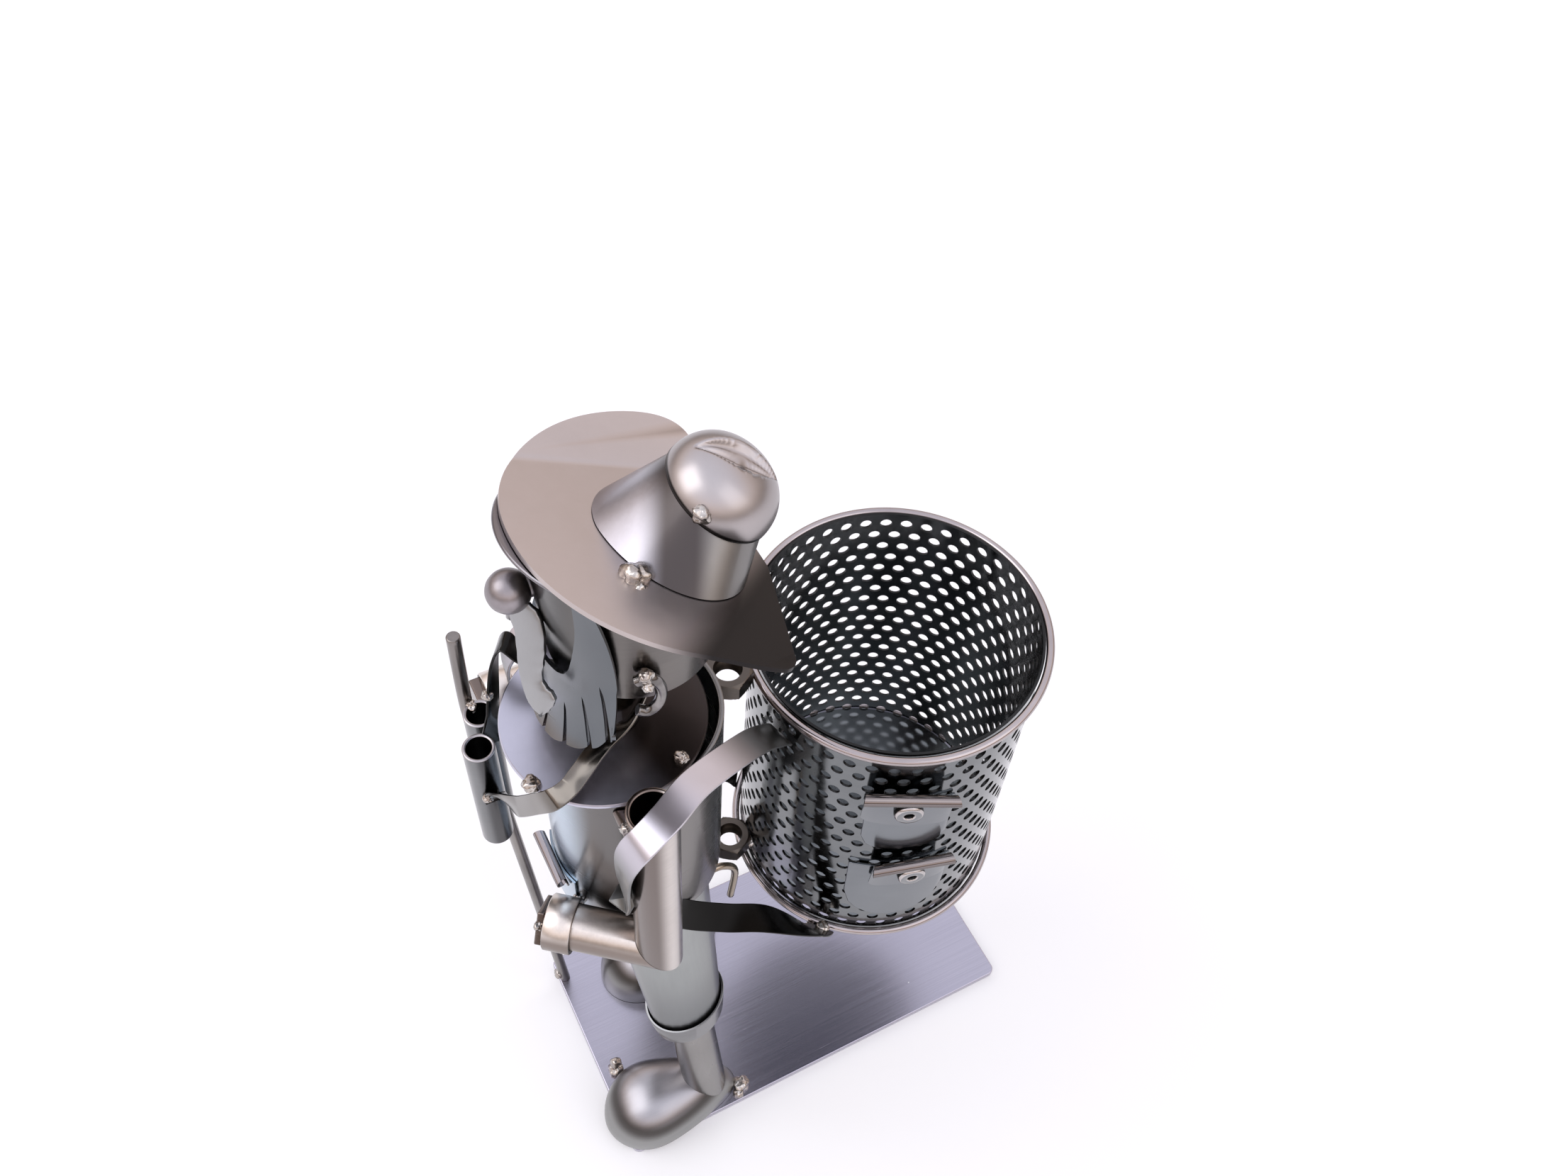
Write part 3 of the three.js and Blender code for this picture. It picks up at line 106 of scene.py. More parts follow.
def lacquered(name, shade, light, rough, stretch, cloud_size=30.0, marks=0.05, bump=0.06, coat=0.2, dust=0.0,
              rim=0.4, painted_shading=None, painted_shading_over=None):
    """Brushed and lacquered metal: two tones, streaks in colour, gloss and relief, dust, painted
    edge shade that darkens it where it is seen at a slant, and a band of painted light and shade
    given as (direction, start, end, colour), with a second one of the same form laid over it."""
    finish = bpy.data.materials.new(name)
    finish.use_nodes = True
    tree = finish.node_tree
    shader = tree.nodes["Principled BSDF"]
    shader.inputs["Metallic"].default_value = 1.0
    shader.inputs["Coat Weight"].default_value = coat
    shader.inputs["Coat Roughness"].default_value = 0.12
    place = wired(tree, "TexCoord", {}).outputs["Object"]
    grain = wired(tree, "Group", {"Vector": place, "Stretch": stretch, "Cloud Size": cloud_size}, node_tree=GRAIN)
    streaks = grain.outputs["Streaks"]
    tone = wired(tree, "ValToRGB", {"Fac": grain.outputs["Clouds"]})
    for stop, position, colour in zip(tone.color_ramp.elements, (0.3, 0.7), (shade, light)):
        stop.position = position
        stop.color = (*colour, 1)
    lines = wired(tree, "MapRange", {"Value": streaks, "From Min": 0.3, "From Max": 0.7,
                                     "To Min": 1 - marks, "To Max": 1 + marks})
    metal = mixed(tree, tone.outputs["Color"], lines.outputs["Result"], 1.0, "MULTIPLY")
    # Bands of painted light and shade: the colour is blended towards each band's colour along a direction.
    for way, start, end, painted_colour in filter(None, (painted_shading, painted_shading_over)):
        reach = wired(tree, "VectorMath", {0: place, 1: Vector(way).normalized()}, operation="DOT_PRODUCT")
        share = wired(tree, "MapRange", {"Value": reach.outputs["Value"], "From Min": start * MM,
                                         "From Max": end * MM}, interpolation_type="SMOOTHSTEP")
        metal = mixed(tree, metal, (*painted_colour, 1), share.outputs["Result"])
    amount = wired(tree, "Math", {0: grain.outputs["Dust"], 1: dust}, operation="MULTIPLY")
    metal = mixed(tree, metal, DUST_COLOUR, amount.outputs["Value"])
    # Painted edge shade: the colour is darkened where the surface is seen at a slant, standing in for the shading of
    # curved pieces; rim sets its strength.
    slant = wired(tree, "LayerWeight", {"Blend": 0.6})
    painted_edge_darkening = wired(tree, "MapRange", {"Value": slant.outputs["Facing"], "To Min": 1.0, "To Max": 1 - rim})
    metal = mixed(tree, metal, painted_edge_darkening.outputs["Result"], 1.0, "MULTIPLY")
    sway = min(0.025, marks)
    gloss = wired(tree, "MapRange", {"Value": streaks, "From Min": 0.25, "From Max": 0.75,
                                     "To Min": rough - sway, "To Max": rough + sway})
    relief = wired(tree, "Bump", {"Height": streaks, "Strength": bump, "Distance": 0.0002})
    tree.links.new(metal, shader.inputs["Base Color"])
    tree.links.new(gloss.outputs["Result"], shader.inputs["Roughness"])
    tree.links.new(relief.outputs["Normal"], shader.inputs["Normal"])
    return finish


def eased(bm, width, angle, segments=2, clamp=False):
    """Rounds off the edges that bend by more than an angle."""
    crisp = [e for e in bm.edges if e.calc_face_angle(0) > radians(angle)]
    bmesh.ops.bevel(bm, geom=crisp, offset=width, segments=segments, profile=0.5, affect="EDGES", material=-1,
                    clamp_overlap=clamp)
    return bm


def to_metres(bm):
    """Brings a drawn piece to metres and shades it smooth."""
    bmesh.ops.scale(bm, vec=(MM, MM, MM), verts=bm.verts)
    for face in bm.faces:
        face.smooth = True


def on_root(bm, name, finishes):
    """Makes an object of a piece in metres and sets it on the frame."""
    mesh = bpy.data.meshes.new(name)
    bm.to_mesh(mesh)
    bm.free()
    for finish in finishes:
        mesh.materials.append(finish)
    piece = bpy.data.objects.new(name, mesh)
    bpy.context.scene.collection.objects.link(piece)
    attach(piece, "root")
    return piece


def fasten(bm, node, slot, *finishes, sharp=50):
    """Fastens a piece in place of its solid, smooth but for its crisp edges and the rims of its
    wide faces."""
    to_metres(bm)
    for edge in bm.edges:
        small, *_, large = sorted([f.calc_area() for f in edge.link_faces] * 2)
        bend = degrees(edge.calc_face_angle(pi))
        edge.smooth = bend < 8 or (bend < sharp and large < 20 * small)
    piece = on_root(bm, node + "_metal", finishes)
    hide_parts(node)


PLATE = Vector((86, 164, 3))
PLATE_CORNER, PLATE_EDGE = 3, 0.45
plate_finish = lacquered("plate_lavender_steel", (0.43, 0.41, 0.485), (0.51, 0.49, 0.57), 0.25, (2600, 18, 2600),
                         cloud_size=9, marks=0.06, bump=0.004, dust=1.0, rim=0.0)
plate = bmesh.new()
blank = Matrix.Translation((0, 0, PLATE.z / 2)) @ Matrix.Diagonal((*PLATE, 1))
bmesh.ops.create_cube(plate, size=1, matrix=blank)
upright = [e for e in plate.edges if abs(e.verts[0].co.z - e.verts[1].co.z) > 1]
bmesh.ops.bevel(plate, geom=upright, offset=PLATE_CORNER, segments=8, profile=0.5, affect="EDGES", material=-1)
fasten(eased(plate, PLATE_EDGE, 60, segments=3), "base_plate", "plate_steel", plate_finish)


# Legs: a plain steel tube from each shoe up into the trousers, cut square and welded at both
# ends. The tubes lean outwards and are brushed along their length.
FIGURE = Vector((0, -56.3, 0))
ANKLES = {"left": Vector((33, 8.8, 10)), "right": Vector((-27, 30, 10))}
HIPS = {"left": Vector((12.3, 0, 164.7)), "right": Vector((-12.3, 0, 164.7))}
LEG_RADIUS, LEG_WALL, LEG_LENGTH = 8, 1.2, 150


def turned(outline, steps=96):
    """Spins an outline of (radius, height) points round the Z axis."""
    bm = bmesh.new()
    points = [bm.verts.new((r, 0, z)) for r, z in outline]
    lines = [bm.edges.new(pair) for pair in zip(points, points[1:])]
    if outline[0][0] > 0:
        lines.append(bm.edges.new((points[-1], points[0])))
    bmesh.ops.spin(bm, geom=points + lines, cent=(0, 0, 0), axis=(0, 0, 1), angle=2 * pi, steps=steps,
                   use_merge=True)
    bmesh.ops.remove_doubles(bm, verts=bm.verts, dist=0.001)
    bmesh.ops.recalc_face_normals(bm, faces=bm.faces)
    return bm


def pipe(outer, wall, low, high, ease=0.3):
    """Outline of a tube with eased rims."""
    inner = outer - wall
    return [(inner, low + ease), (inner + ease, low), (outer - ease, low), (outer, low + ease),
            (outer, high - ease), (outer - ease, high), (inner + ease, high), (inner, high - ease)]


def aim(bm, start, end):
    """Turns a piece drawn up the Z axis so that it runs from start towards end."""
    turn = Vector((0, 0, 1)).rotation_difference(end - start).to_matrix().to_4x4()
    bmesh.ops.transform(bm, matrix=Matrix.Translation(start) @ turn, verts=bm.verts)
    return bm


# Strong painted edge shade darkens the leg tubes towards their sides.
leg_finish = lacquered("leg_satin_steel", (0.56, 0.535, 0.515), (0.66, 0.635, 0.615), 0.26, (1000, 1000, 12),
                       bump=0.03, rim=0.85)
for side in ANKLES:
    leg = turned(pipe(LEG_RADIUS, LEG_WALL, 0, LEG_LENGTH))
    aim(leg, ANKLES[side] + FIGURE, HIPS[side] + FIGURE)
    fasten(leg, side + "_lower_leg", "tinted_steel", leg_finish)


# Trouser legs and turn-ups: oval cones of thin sheet rolled and welded at the back, each with a
# separate band round the hem. Satin brushed, paler than the jacket.
UP, DOWN = Vector((0, 0, 1)), Vector((0, 0, -1))
HEM_LEVEL, HEM_TILT, HEM_REACH = 78.0, 0.3, 30
TURN_UP = [(10.6, -5.0), (11.6, -5.2), (12.0, -4.9), (13.2, 5.0), (13.0, 5.4), (12.5, 5.4), (12.2, 5.0), (11.2, -2.0)]
TURN_UP_WIDE, TURN_UP_LONG = 0.95, 1.07


def softened(node, width):
    """Copy of a solid in millimetres, its triangles merged and its sharp edges eased."""
    bm = bmesh.new()
    bm.from_mesh(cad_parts[node].data)
    bmesh.ops.scale(bm, vec=(1 / MM, 1 / MM, 1 / MM), verts=bm.verts)
    bmesh.ops.remove_doubles(bm, verts=bm.verts, dist=0.002)
    bmesh.ops.dissolve_limit(bm, angle_limit=radians(0.3), verts=bm.verts, edges=bm.edges)
    return eased(bm, width, 40, clamp=True)


# Painted shade darkens the trouser legs towards the bottom, and painted edge shade their sides.
trouser_finish = lacquered("trouser_pale_satin", (0.57, 0.595, 0.585), (0.66, 0.685, 0.675), 0.31, (800, 800, 12),
                           marks=0.04, rim=0.75, painted_shading=(DOWN, -125, -85, (0.36, 0.375, 0.38)))
hem_finish = lacquered("turn_up_satin", (0.27, 0.27, 0.275), (0.35, 0.35, 0.36), 0.25, (45, 45, 1200), marks=0.04,
                       rim=0.5)
for side, ankle in ANKLES.items():
    run = HIPS[side] - ankle
    hem = FIGURE + ankle + run * ((HEM_LEVEL - ankle.z) / run.z)
    cone = softened(side + "_trouser_leg", 0.25)
    for vert in cone.verts:
        low = max(0.0, 1 - max(0.0, vert.co.z - HEM_LEVEL) / HEM_REACH)
        vert.co.z += HEM_TILT * low * (vert.co.y - hem.y)
    fasten(cone, side + "_trouser_leg", "tinted_steel", trouser_finish)
    band = turned(TURN_UP)
    for vert in band.verts:
        oval = Vector((vert.co.x * TURN_UP_WIDE, vert.co.y * TURN_UP_LONG, 0))
        vert.co = hem + oval + run * (vert.co.z / run.z)
        vert.co.z += HEM_TILT * oval.y
    fasten(band, side + "_trouser_cuff", "tinted_steel", hem_finish)


# Shoes: thick sheet pressed into a round-toed shell, open underneath, with the leg welded into
# its top. Each row of SHOE is a share of the length from heel to toe, half the width and the
# height there. The pressing is polished brighter than the rest of the figure.
SHOE = [(-1.0, 10.0, 17.5), (0.7, 18.0, 22.0), (1.0, 17.8, 21.5)]
SHOE_TOE, SHOE_HEEL, SHOE_SOLE = 40.5, -12.0, 3.3
BLUNT, SQUARE, NARROW_SOLE = 2.4, 0.78, 0.06
TOE_IN = {"left": -7, "right": 7}
# Painted reflection: a dark band round the shoe a little below its top, with a lighter band under it.
shoe_finish = lacquered("shoe_bright_steel", (0.41, 0.395, 0.42), (0.47, 0.455, 0.48), 0.36, (400, 40, 400),
                        bump=0.02, rim=0.3, painted_shading=(DOWN, -21.5, -17.5, (0.10, 0.092, 0.088)),
                        painted_shading_over=(DOWN, -17, -12, (0.36, 0.36, 0.352)))


def along(table, t):
    """Sizes at t along a table of (t, size, size), eased between its rows."""
    for (t0, *a), (t1, *b) in zip(table, table[1:]):
        if t <= t1:
            s = max(0.0, (t - t0) / (t1 - t0))
            s = s * s * (3 - 2 * s)
            return [x + (y - x) * s for x, y in zip(a, b)]
    return list(table[-1][1:])


def moved(bm, way):
    """Shifts a piece."""
    bmesh.ops.translate(bm, vec=way, verts=bm.verts)
    return bm


def swung(bm, angle, axis="Z", centre=(0, 0, 0)):
    """Turns a piece by degrees about an axis."""
    bmesh.ops.rotate(bm, cent=centre, matrix=Matrix.Rotation(radians(angle), 3, axis), verts=bm.verts)
    return bm


for side, ankle in ANKLES.items():
    shoe = bmesh.new()
    bmesh.ops.create_uvsphere(shoe, u_segments=72, v_segments=64, radius=1)
    for vert in swung(shoe, 90, "X").verts:
        t = max(-1.0, min(1.0, -vert.co.y))
        half, height = along(SHOE, t)
        ring = sqrt(max(1 - t * t, 1e-9))
        close = (1 - abs(t) ** BLUNT) ** 0.5
        aside = abs(vert.co.x / ring) ** SQUARE * (1 if vert.co.x > 0 else -1)
        rise = max(vert.co.z / ring, 0.0) ** SQUARE
        aside *= 1 - NARROW_SOLE * max(0.0, 1 - rise * 2)
        ahead = (SHOE_TOE + SHOE_HEEL) / 2 + t * (SHOE_TOE - SHOE_HEEL) / 2
        vert.co = Vector((aside * half * close, -ahead, SHOE_SOLE + rise * height * close))
    bmesh.ops.remove_doubles(shoe, verts=shoe.verts, dist=0.01)
    bmesh.ops.recalc_face_normals(shoe, faces=shoe.faces)
    moved(swung(shoe, TOE_IN[side]), (ankle.x, ankle.y + FIGURE.y, 0))
    fasten(shoe, side + "_shoe", "tinted_steel", shoe_finish, sharp=60)


# Jacket: a wide tube for the body with the shoulder disc welded over its top, and a small pocket
# with a rolled flap low on the front. Tube and pocket are brushed round, the disc is satin. ASIDE
# is the level direction in which the upright tubes go from light to dark.
ASIDE = Vector((0.46, 0.887, 0))
JACKET_RADIUS, JACKET_WALL, JACKET_HEM, JACKET_TOP = 25.8, 1.5, 160, 242
DISC_AT = FIGURE + Vector((0, -7.2, 242.3))
# Painted shade darkens the jacket tube and pocket along ASIDE, with a slightly lighter painted band beyond it.
jacket_finish = lacquered("jacket_satin", (0.55, 0.67, 0.80), (0.63, 0.75, 0.88), 0.26, (40, 40, 700), bump=0.02,
                          rim=0.3, painted_shading=(ASIDE, -70, -59, (0.15, 0.14, 0.135)),
                          painted_shading_over=(ASIDE, -52, -40, (0.23, 0.215, 0.205)))
# Painted reflection darkens the back of the shoulder disc.
disc_finish = lacquered("shoulder_disc_satin", (0.52, 0.51, 0.60), (0.60, 0.595, 0.70), 0.33, (350, 350, 350),
                        cloud_size=14, dust=0.5, rim=0.0, painted_shading=((-0.2, 0.98, 0), -74, -58, (0.05, 0.038, 0.034)),
                        **POLISHED)
tuck_finish = lacquered("jacket_flap_bright", (0.42, 0.38, 0.39), (0.52, 0.48, 0.49), 0.2, (90, 90, 90), rim=0.7,
                        **POLISHED)


def coin(radius, thickness, ease):
    """Outline of a disc with eased rims."""
    return [(0, 0), (radius - ease, 0), (radius, ease), (radius, thickness - ease), (radius - ease, thickness),
            (0, thickness)]


def skinned(bm, rows):
    """Faces between the rows of a grid of points, given back strip by strip."""
    return [[bm.faces.new(quad) for quad in zip(one, one[1:], two[1:], two)] for one, two in zip(rows, rows[1:])]


def thickened(bm, thickness):
    """Gives a drawn sheet its thickness."""
    bmesh.ops.recalc_face_normals(bm, faces=bm.faces)
    bmesh.ops.solidify(bm, geom=bm.faces[:], thickness=thickness)
    bmesh.ops.recalc_face_normals(bm, faces=bm.faces)
    return bm


def rolled_sheet(outline, start, end, lean, place, thickness, bright=0):
    """Sheet of one section of (radius, height) bent round a tube from start to end, leaning by
    lean, with clipped lower corners; its last spans, bright in number, have the second finish,
    the painted highlight on the rolls of the pocket flaps."""
    bm = bmesh.new()
    rows = []
    columns = 36
    for i in range(columns + 1):
        share = i / columns
        clip = 1.6 * max(0.0, 1 - min(i, columns - i) / 3) ** 2
        angle, lift = start + (end - start) * share, lean * (2 * share - 1)
        rows.append([bm.verts.new(place(angle, r, z + lift + (0 if k else clip))) for k, (r, z) in enumerate(outline)])
    for strip in skinned(bm, rows):
        for face in strip[len(strip) - bright:]:
            face.material_index = 1
    return thickened(bm, thickness)


def clamped(t):
    """A share kept between 0 and 1."""
    return max(0.0, min(1.0, t))


def flap_on(centre, middle, foot, head):
    """Place for a flap that follows the curve at its foot and runs straight along its roll."""
    def place(angle, radius, z):
        off = radians(angle - middle)
        straight = clamped((z - foot) / (head - foot))
        spot = Vector((radius * sin(off), -radius * (cos(off) + straight * (1 - cos(off))), z))
        return centre + Matrix.Rotation(radians(middle), 3, "Z") @ spot
    return place


def about(centre, heading=0):
    """Place round an upright axis, by angle from its front."""
    def place(angle, radius, z):
        turn = radians(angle + heading)
        return centre + Vector((radius * sin(turn), -radius * cos(turn), z))
    return place


def roll(radius, reach, height):
    """Outline of an edge rolled outwards, from its inner side over the top and round."""
    turns = [radians(a) for a in range(170, -131, -15)]
    return [(reach + radius * (1 + cos(a)), height + radius * sin(a)) for a in turns]


def refinish(node, finish):
    """Gives a piece that is shown as its solid the finish of its neighbours."""
    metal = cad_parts[node].data.materials
    metal.clear()
    metal.append(finish)


jacket = moved(turned(pipe(JACKET_RADIUS, JACKET_WALL, JACKET_HEM, JACKET_TOP), 128), FIGURE)
fasten(jacket, "jacket_torso", "tinted_steel", jacket_finish)
fasten(moved(turned(coin(28, 1.5, 0.4), 128), DISC_AT), "shoulder_disc", "tinted_steel", disc_finish)
patch = rolled_sheet([(26.6, z) for z in (157, 160, 164, 168, 172, 175)], -22, 22, 0, about(FIGURE), 0.6)
fasten(patch, "jacket_pocket", "tinted_steel", jacket_finish)
tuck = rolled_sheet([(26.9, 174.2), (26.9, 177.7)] + roll(1.75, 26.9, 180.2), 18, -11, 3.85,
                    flap_on(FIGURE, 3.5, 171, 177), 0.6)
fasten(tuck, "jacket_pocket_flap", "tinted_steel", tuck_finish, sharp=40)
refinish("hip_disc", jacket_finish)


# Arms: two lengths of tube mitred and welded at the elbow, with a sleeve ring over the wrist and
# a small plate for the hand. Brushed round the tube with a warm bronze lacquer. Each row of ARMS
# is the elbow, the upper arm's length, the forearm's heading and length, and the hand's turn.
ARM_RADIUS, ARM_WALL, ARM_SPARE, MITRE_GAP = 7, 1.2, 14, 0.1
SLEEVE_RADIUS, SLEEVE_WALL, SLEEVE_LENGTH = 8.5, 1.3, 8.4
ARMS = {"left": (Vector((35.5, -8.7, 167)), 83.0, 39, 34.0, -4),
        "right": (Vector((-38.5, -8.7, 211)), 20.8, 0, 20.9, 0)}
# Painted shade darkens the upper arms and hands towards the side opposite ASIDE.
arm_finish = lacquered("arm_bronze_satin", (0.86, 0.78, 0.73), (0.96, 0.88, 0.83), 0.25, (120, 120, 1100), marks=0.08,
                       rim=0.45, painted_shading=(-ASIDE, 36.5, 41, (0.21, 0.165, 0.145)))
# Painted shade darkens the underside of the left forearm and its sleeve ring.
forearm_finish = lacquered("forearm_bronze_satin", (0.88, 0.80, 0.74), (0.98, 0.90, 0.84), 0.34, (700, 700, 60),
                           marks=0.06, rim=0.3, painted_shading=(DOWN, -173.4, -169.5, (0.30, 0.25, 0.22)))
# The end faces of the sleeve rings are painted near black, a painted shadow in the gap round the forearm.
painted_cuff_shadow = lacquered("sleeve_end_painted_shadow", (0.02, 0.018, 0.016), (0.04, 0.036, 0.032), 0.4, (300, 300, 300))


def every(bm):
    """All the points, edges and faces of a piece."""
    return bm.verts[:] + bm.edges[:] + bm.faces[:]


def mitred(bm, point, normal):
    """Cuts a tube off along a plane, keeping the side the normal points to, and closes the cut."""
    bmesh.ops.bisect_plane(bm, geom=every(bm), dist=0.0005, plane_co=point, plane_no=normal, clear_inner=True)
    bmesh.ops.bridge_loops(bm, edges=[e for e in bm.edges if e.is_boundary])
    bmesh.ops.recalc_face_normals(bm, faces=bm.faces)
    return bm


for side, (elbow, rise, heading, reach, hand_turn) in ARMS.items():
    elbow = elbow + FIGURE
    way = Vector((-sin(radians(heading)), -cos(radians(heading)), 0))
    bend = (UP - way).normalized()
    upper = aim(turned(pipe(ARM_RADIUS, ARM_WALL, -ARM_SPARE, rise), 72), elbow, elbow + UP)
    fasten(mitred(upper, elbow + bend * MITRE_GAP, bend), side + "_upper_arm", "tinted_steel", arm_finish)
    lower = aim(turned(pipe(ARM_RADIUS, ARM_WALL, -ARM_SPARE, reach), 72), elbow, elbow + way)
    fasten(mitred(lower, elbow - bend * MITRE_GAP, -bend), side + "_forearm", "tinted_steel", forearm_finish)
    cuff = turned(pipe(SLEEVE_RADIUS, SLEEVE_WALL, reach - SLEEVE_LENGTH, reach), 72)
    # End faces take the painted shadow.
    for face in cuff.faces:
        face.material_index = 1 if abs(face.normal.z) > 0.8 else 0
    aim(cuff, elbow, elbow + way)
    fasten(cuff, side + "_sleeve_cuff", "tinted_steel", forearm_finish, painted_cuff_shadow)
    hand = swung(softened(side + "_hand", 0.4), hand_turn, centre=elbow)
    fasten(hand, side + "_hand", "tinted_steel", arm_finish)
    fasten(softened(side + "_arm_stub", 0.3), side + "_arm_stub", "tinted_steel", arm_finish)


# Head: a slightly flared tube cut off along the tilt of the hat, on a neck tube, with a round
# brow disc lying under the brim. Brushed round, with a tinted lacquer and painted shade on the face.
HEAD = FIGURE + Vector((0, 2.3, 0))
HEAD_FOOT = 278
HAT = (Matrix.Translation(FIGURE + Vector((0, 15.7, 309))) @ Matrix.Rotation(radians(-20.6), 4, "X")
       @ Matrix.Rotation(radians(-5.7), 4, "Y"))
HAT_UP = (HAT.to_3x3() @ UP).normalized()
UNDER_HAT = HAT @ Vector((0, 0, -2.2))
# Painted shade darkens the front of the head towards the face.
head_finish = lacquered("head_satin", (0.16, 0.145, 0.135), (0.23, 0.21, 0.19), 0.25, (60, 60, 1100), marks=0.1,
                        bump=0.08, painted_shading=((-0.2, -0.98, 0), 64, 73, (0.03, 0.026, 0.022)))
brow_finish = lacquered("brow_slate_satin", (0.22, 0.205, 0.225), (0.30, 0.285, 0.305), 0.26, (300, 300, 300),
                        marks=0.03, bump=0.02)
head = turned([(20.3, 0), (21.2, 0), (21.5, 0.3), (26.5, 72), (25, 72), (20, 0.3)], 128)
moved(head, HEAD + UP * HEAD_FOOT)
fasten(mitred(head, UNDER_HAT, -HAT_UP), "head_tube", "tinted_steel", head_finish)
brow = turned(coin(27.5, 1, 0.3), 128)
bmesh.ops.transform(brow, matrix=HAT @ Matrix.Translation((-2, -17, -1.9)), verts=brow.verts)
fasten(brow, "brow_disc", "tinted_steel", brow_finish)
refinish("neck", head_finish)


# Nose: a steel ball on a short pin, welded to the front of the head. It is left dark and matt
# from the forge, with a slightly uneven skin.
NOSE_RADIUS, NOSE_SHIFT, NOSE_SKIN = 5.5, Vector((0.3, 0.6, 0)), 0.06
PIN_RADIUS, PIN_LENGTH, PIN_BACK = 3.2, 6, 5
nose_finish = lacquered("nose_forged_brown", (0.27, 0.245, 0.25), (0.46, 0.42, 0.44), 0.36, (260, 260, 260),
                        cloud_size=120, bump=0.35, coat=0.1)
low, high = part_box("nose_ball")
middle = (low + high) / 2 / MM + NOSE_SHIFT
nose = bmesh.new()
bmesh.ops.create_icosphere(nose, subdivisions=5, radius=NOSE_RADIUS, matrix=Matrix.Translation(middle))
for vert in nose.verts:
    vert.co += vert.normal * NOSE_SKIN * noise.noise(vert.co * 0.5)
pin = Matrix.Translation(middle + Vector((0, PIN_BACK, 0))) @ Matrix.Rotation(radians(90), 4, "X")
bmesh.ops.create_cone(nose, cap_ends=True, segments=32, radius1=PIN_RADIUS, radius2=PIN_RADIUS, depth=PIN_LENGTH,
                      matrix=pin)
fasten(nose, "nose_ball", "nose_ball", nose_finish)


# Beard and moustache: the beard is one piece of sheet slit into locks and rolled round the chin,
# its tips pushed outwards; each half of the moustache is a thick cut-out welded over it. CHEEK is
# the beard's upper edge and SPREAD what its tips are pushed aside, by angle from the nose.
FACE_TURN = -10
LOCKS = [-69, -59, -47, -33, -15, 15, 33, 47, 59, 69]
LOCK_COLUMNS, LOCK_ROWS = 8, 24
CHEEK = [(0, 284), (30, 284), (36, 285.5), (41, 289.5), (45.5, 297), (51, 308), (55, 322), (70, 334)]
SPREAD = [(0, 0), (15, 2.7), (33, 3.2), (47, 6.7), (59, 6.4), (69, 1.3)]
on_face = about(HEAD, FACE_TURN)
# Painted reflection turns the lower tips of the locks warmer.
beard_finish = lacquered("beard_satin", (0.15, 0.165, 0.18), (0.19, 0.205, 0.22), 0.25, (700, 700, 40), marks=0.03,
                         rim=0.5, painted_shading=(DOWN, -264, -255, (0.17, 0.145, 0.125)))


def cheek(angle):
    """Upper edge of the beard: low across the mouth, rising beside it to the brim."""
    for (a, low), (b, high) in zip(CHEEK, CHEEK[1:]):
        if angle <= b:
            return low + (high - low) * (angle - a) / (b - a)
    return CHEEK[-1][1]


beard = bmesh.new()
for left, right in zip(LOCKS, LOCKS[1:]):
    grid = []
    for i in range(LOCK_COLUMNS + 1):
        share = i / LOCK_COLUMNS
        angle = left + (right - left) * share
        size = abs(angle)
        aside = along(SPREAD, size)[0] * (1 if angle > 0 else -1)
        top = cheek(size)
        split = 262 + 25 * min(1.0, size / 59) ** 1.6
        tip = 253.5 + 17 * min(1.0, size / 66) ** 2 - 0.8 * (1 - (2 * share - 1) ** 2)
        column = []
        for k in range(LOCK_ROWS + 1):
            drop = 2 * k / LOCK_ROWS
            fall = max(0.0, drop - 1)
            z = top + (split - top) * min(1.0, drop) + (tip - split) * fall
            lean = (0.7 + 0.7 * fall) * (1 - 2 * share) * min(1.0, fall * 8)
            bulge = 1 - 0.05 * max(0.0, (size - 40) / 29) * ((z - 288) / 20) ** 2
            radius = 24.4 + 0.07 * max(0.0, z - 282) + 3.0 * fall ** 1.4
            column.append(beard.verts.new(on_face((angle + lean) * bulge + aside * fall, radius, z)))
        grid.append(column)
    skinned(beard, grid)
bmesh.ops.remove_doubles(beard, verts=beard.verts, dist=0.01)
bmesh.ops.bisect_plane(beard, geom=every(beard), dist=0.0005, plane_co=UNDER_HAT, plane_no=HAT_UP, clear_outer=True)
fasten(thickened(beard, 1.0), "beard", "tinted_steel", beard_finish)

# Each row of the moustache is the way down its half and its two edges there.
MOUSTACHE = [(-2, -0.6, 3.4), (0, -2.6, 5.0), (2.3, -3.3, 5.65), (6, -2.7, 5.75), (10.5, -3.1, 5.0),
             (14.5, -3.6, 3.85), (17, -3.75, 2.95), (18.9, -3.75, 2.75), (20.4, -3.7, 3.45), (21.8, -3.55, 4.8),
             (23.8, -3.3, 5.4), (25.3, -2.9, 4.75), (26.9, -2.1, 3.4), (28.6, 0.2, 1.4)]
LOBE_ROWS, LOBE_COLUMNS, LOBE_BOW = 61, 8, 0.5
LOBE_AT = Vector((-2.2, -81.0, 298.2))
moustache_finish = lacquered("moustache_pale_satin", (0.36, 0.36, 0.365), (0.44, 0.44, 0.445), 0.36, (500, 500, 60),
                             marks=0.03, rim=0.2)
lobe_down = Vector((0.47, -0.085, -0.88)).normalized()
lobe_face = Vector((0.54, -0.77, 0.34)).normalized()
lobe_right = lobe_face.cross(lobe_down).normalized()
to_front = Matrix.Rotation(radians(-FACE_TURN), 3, "Z")
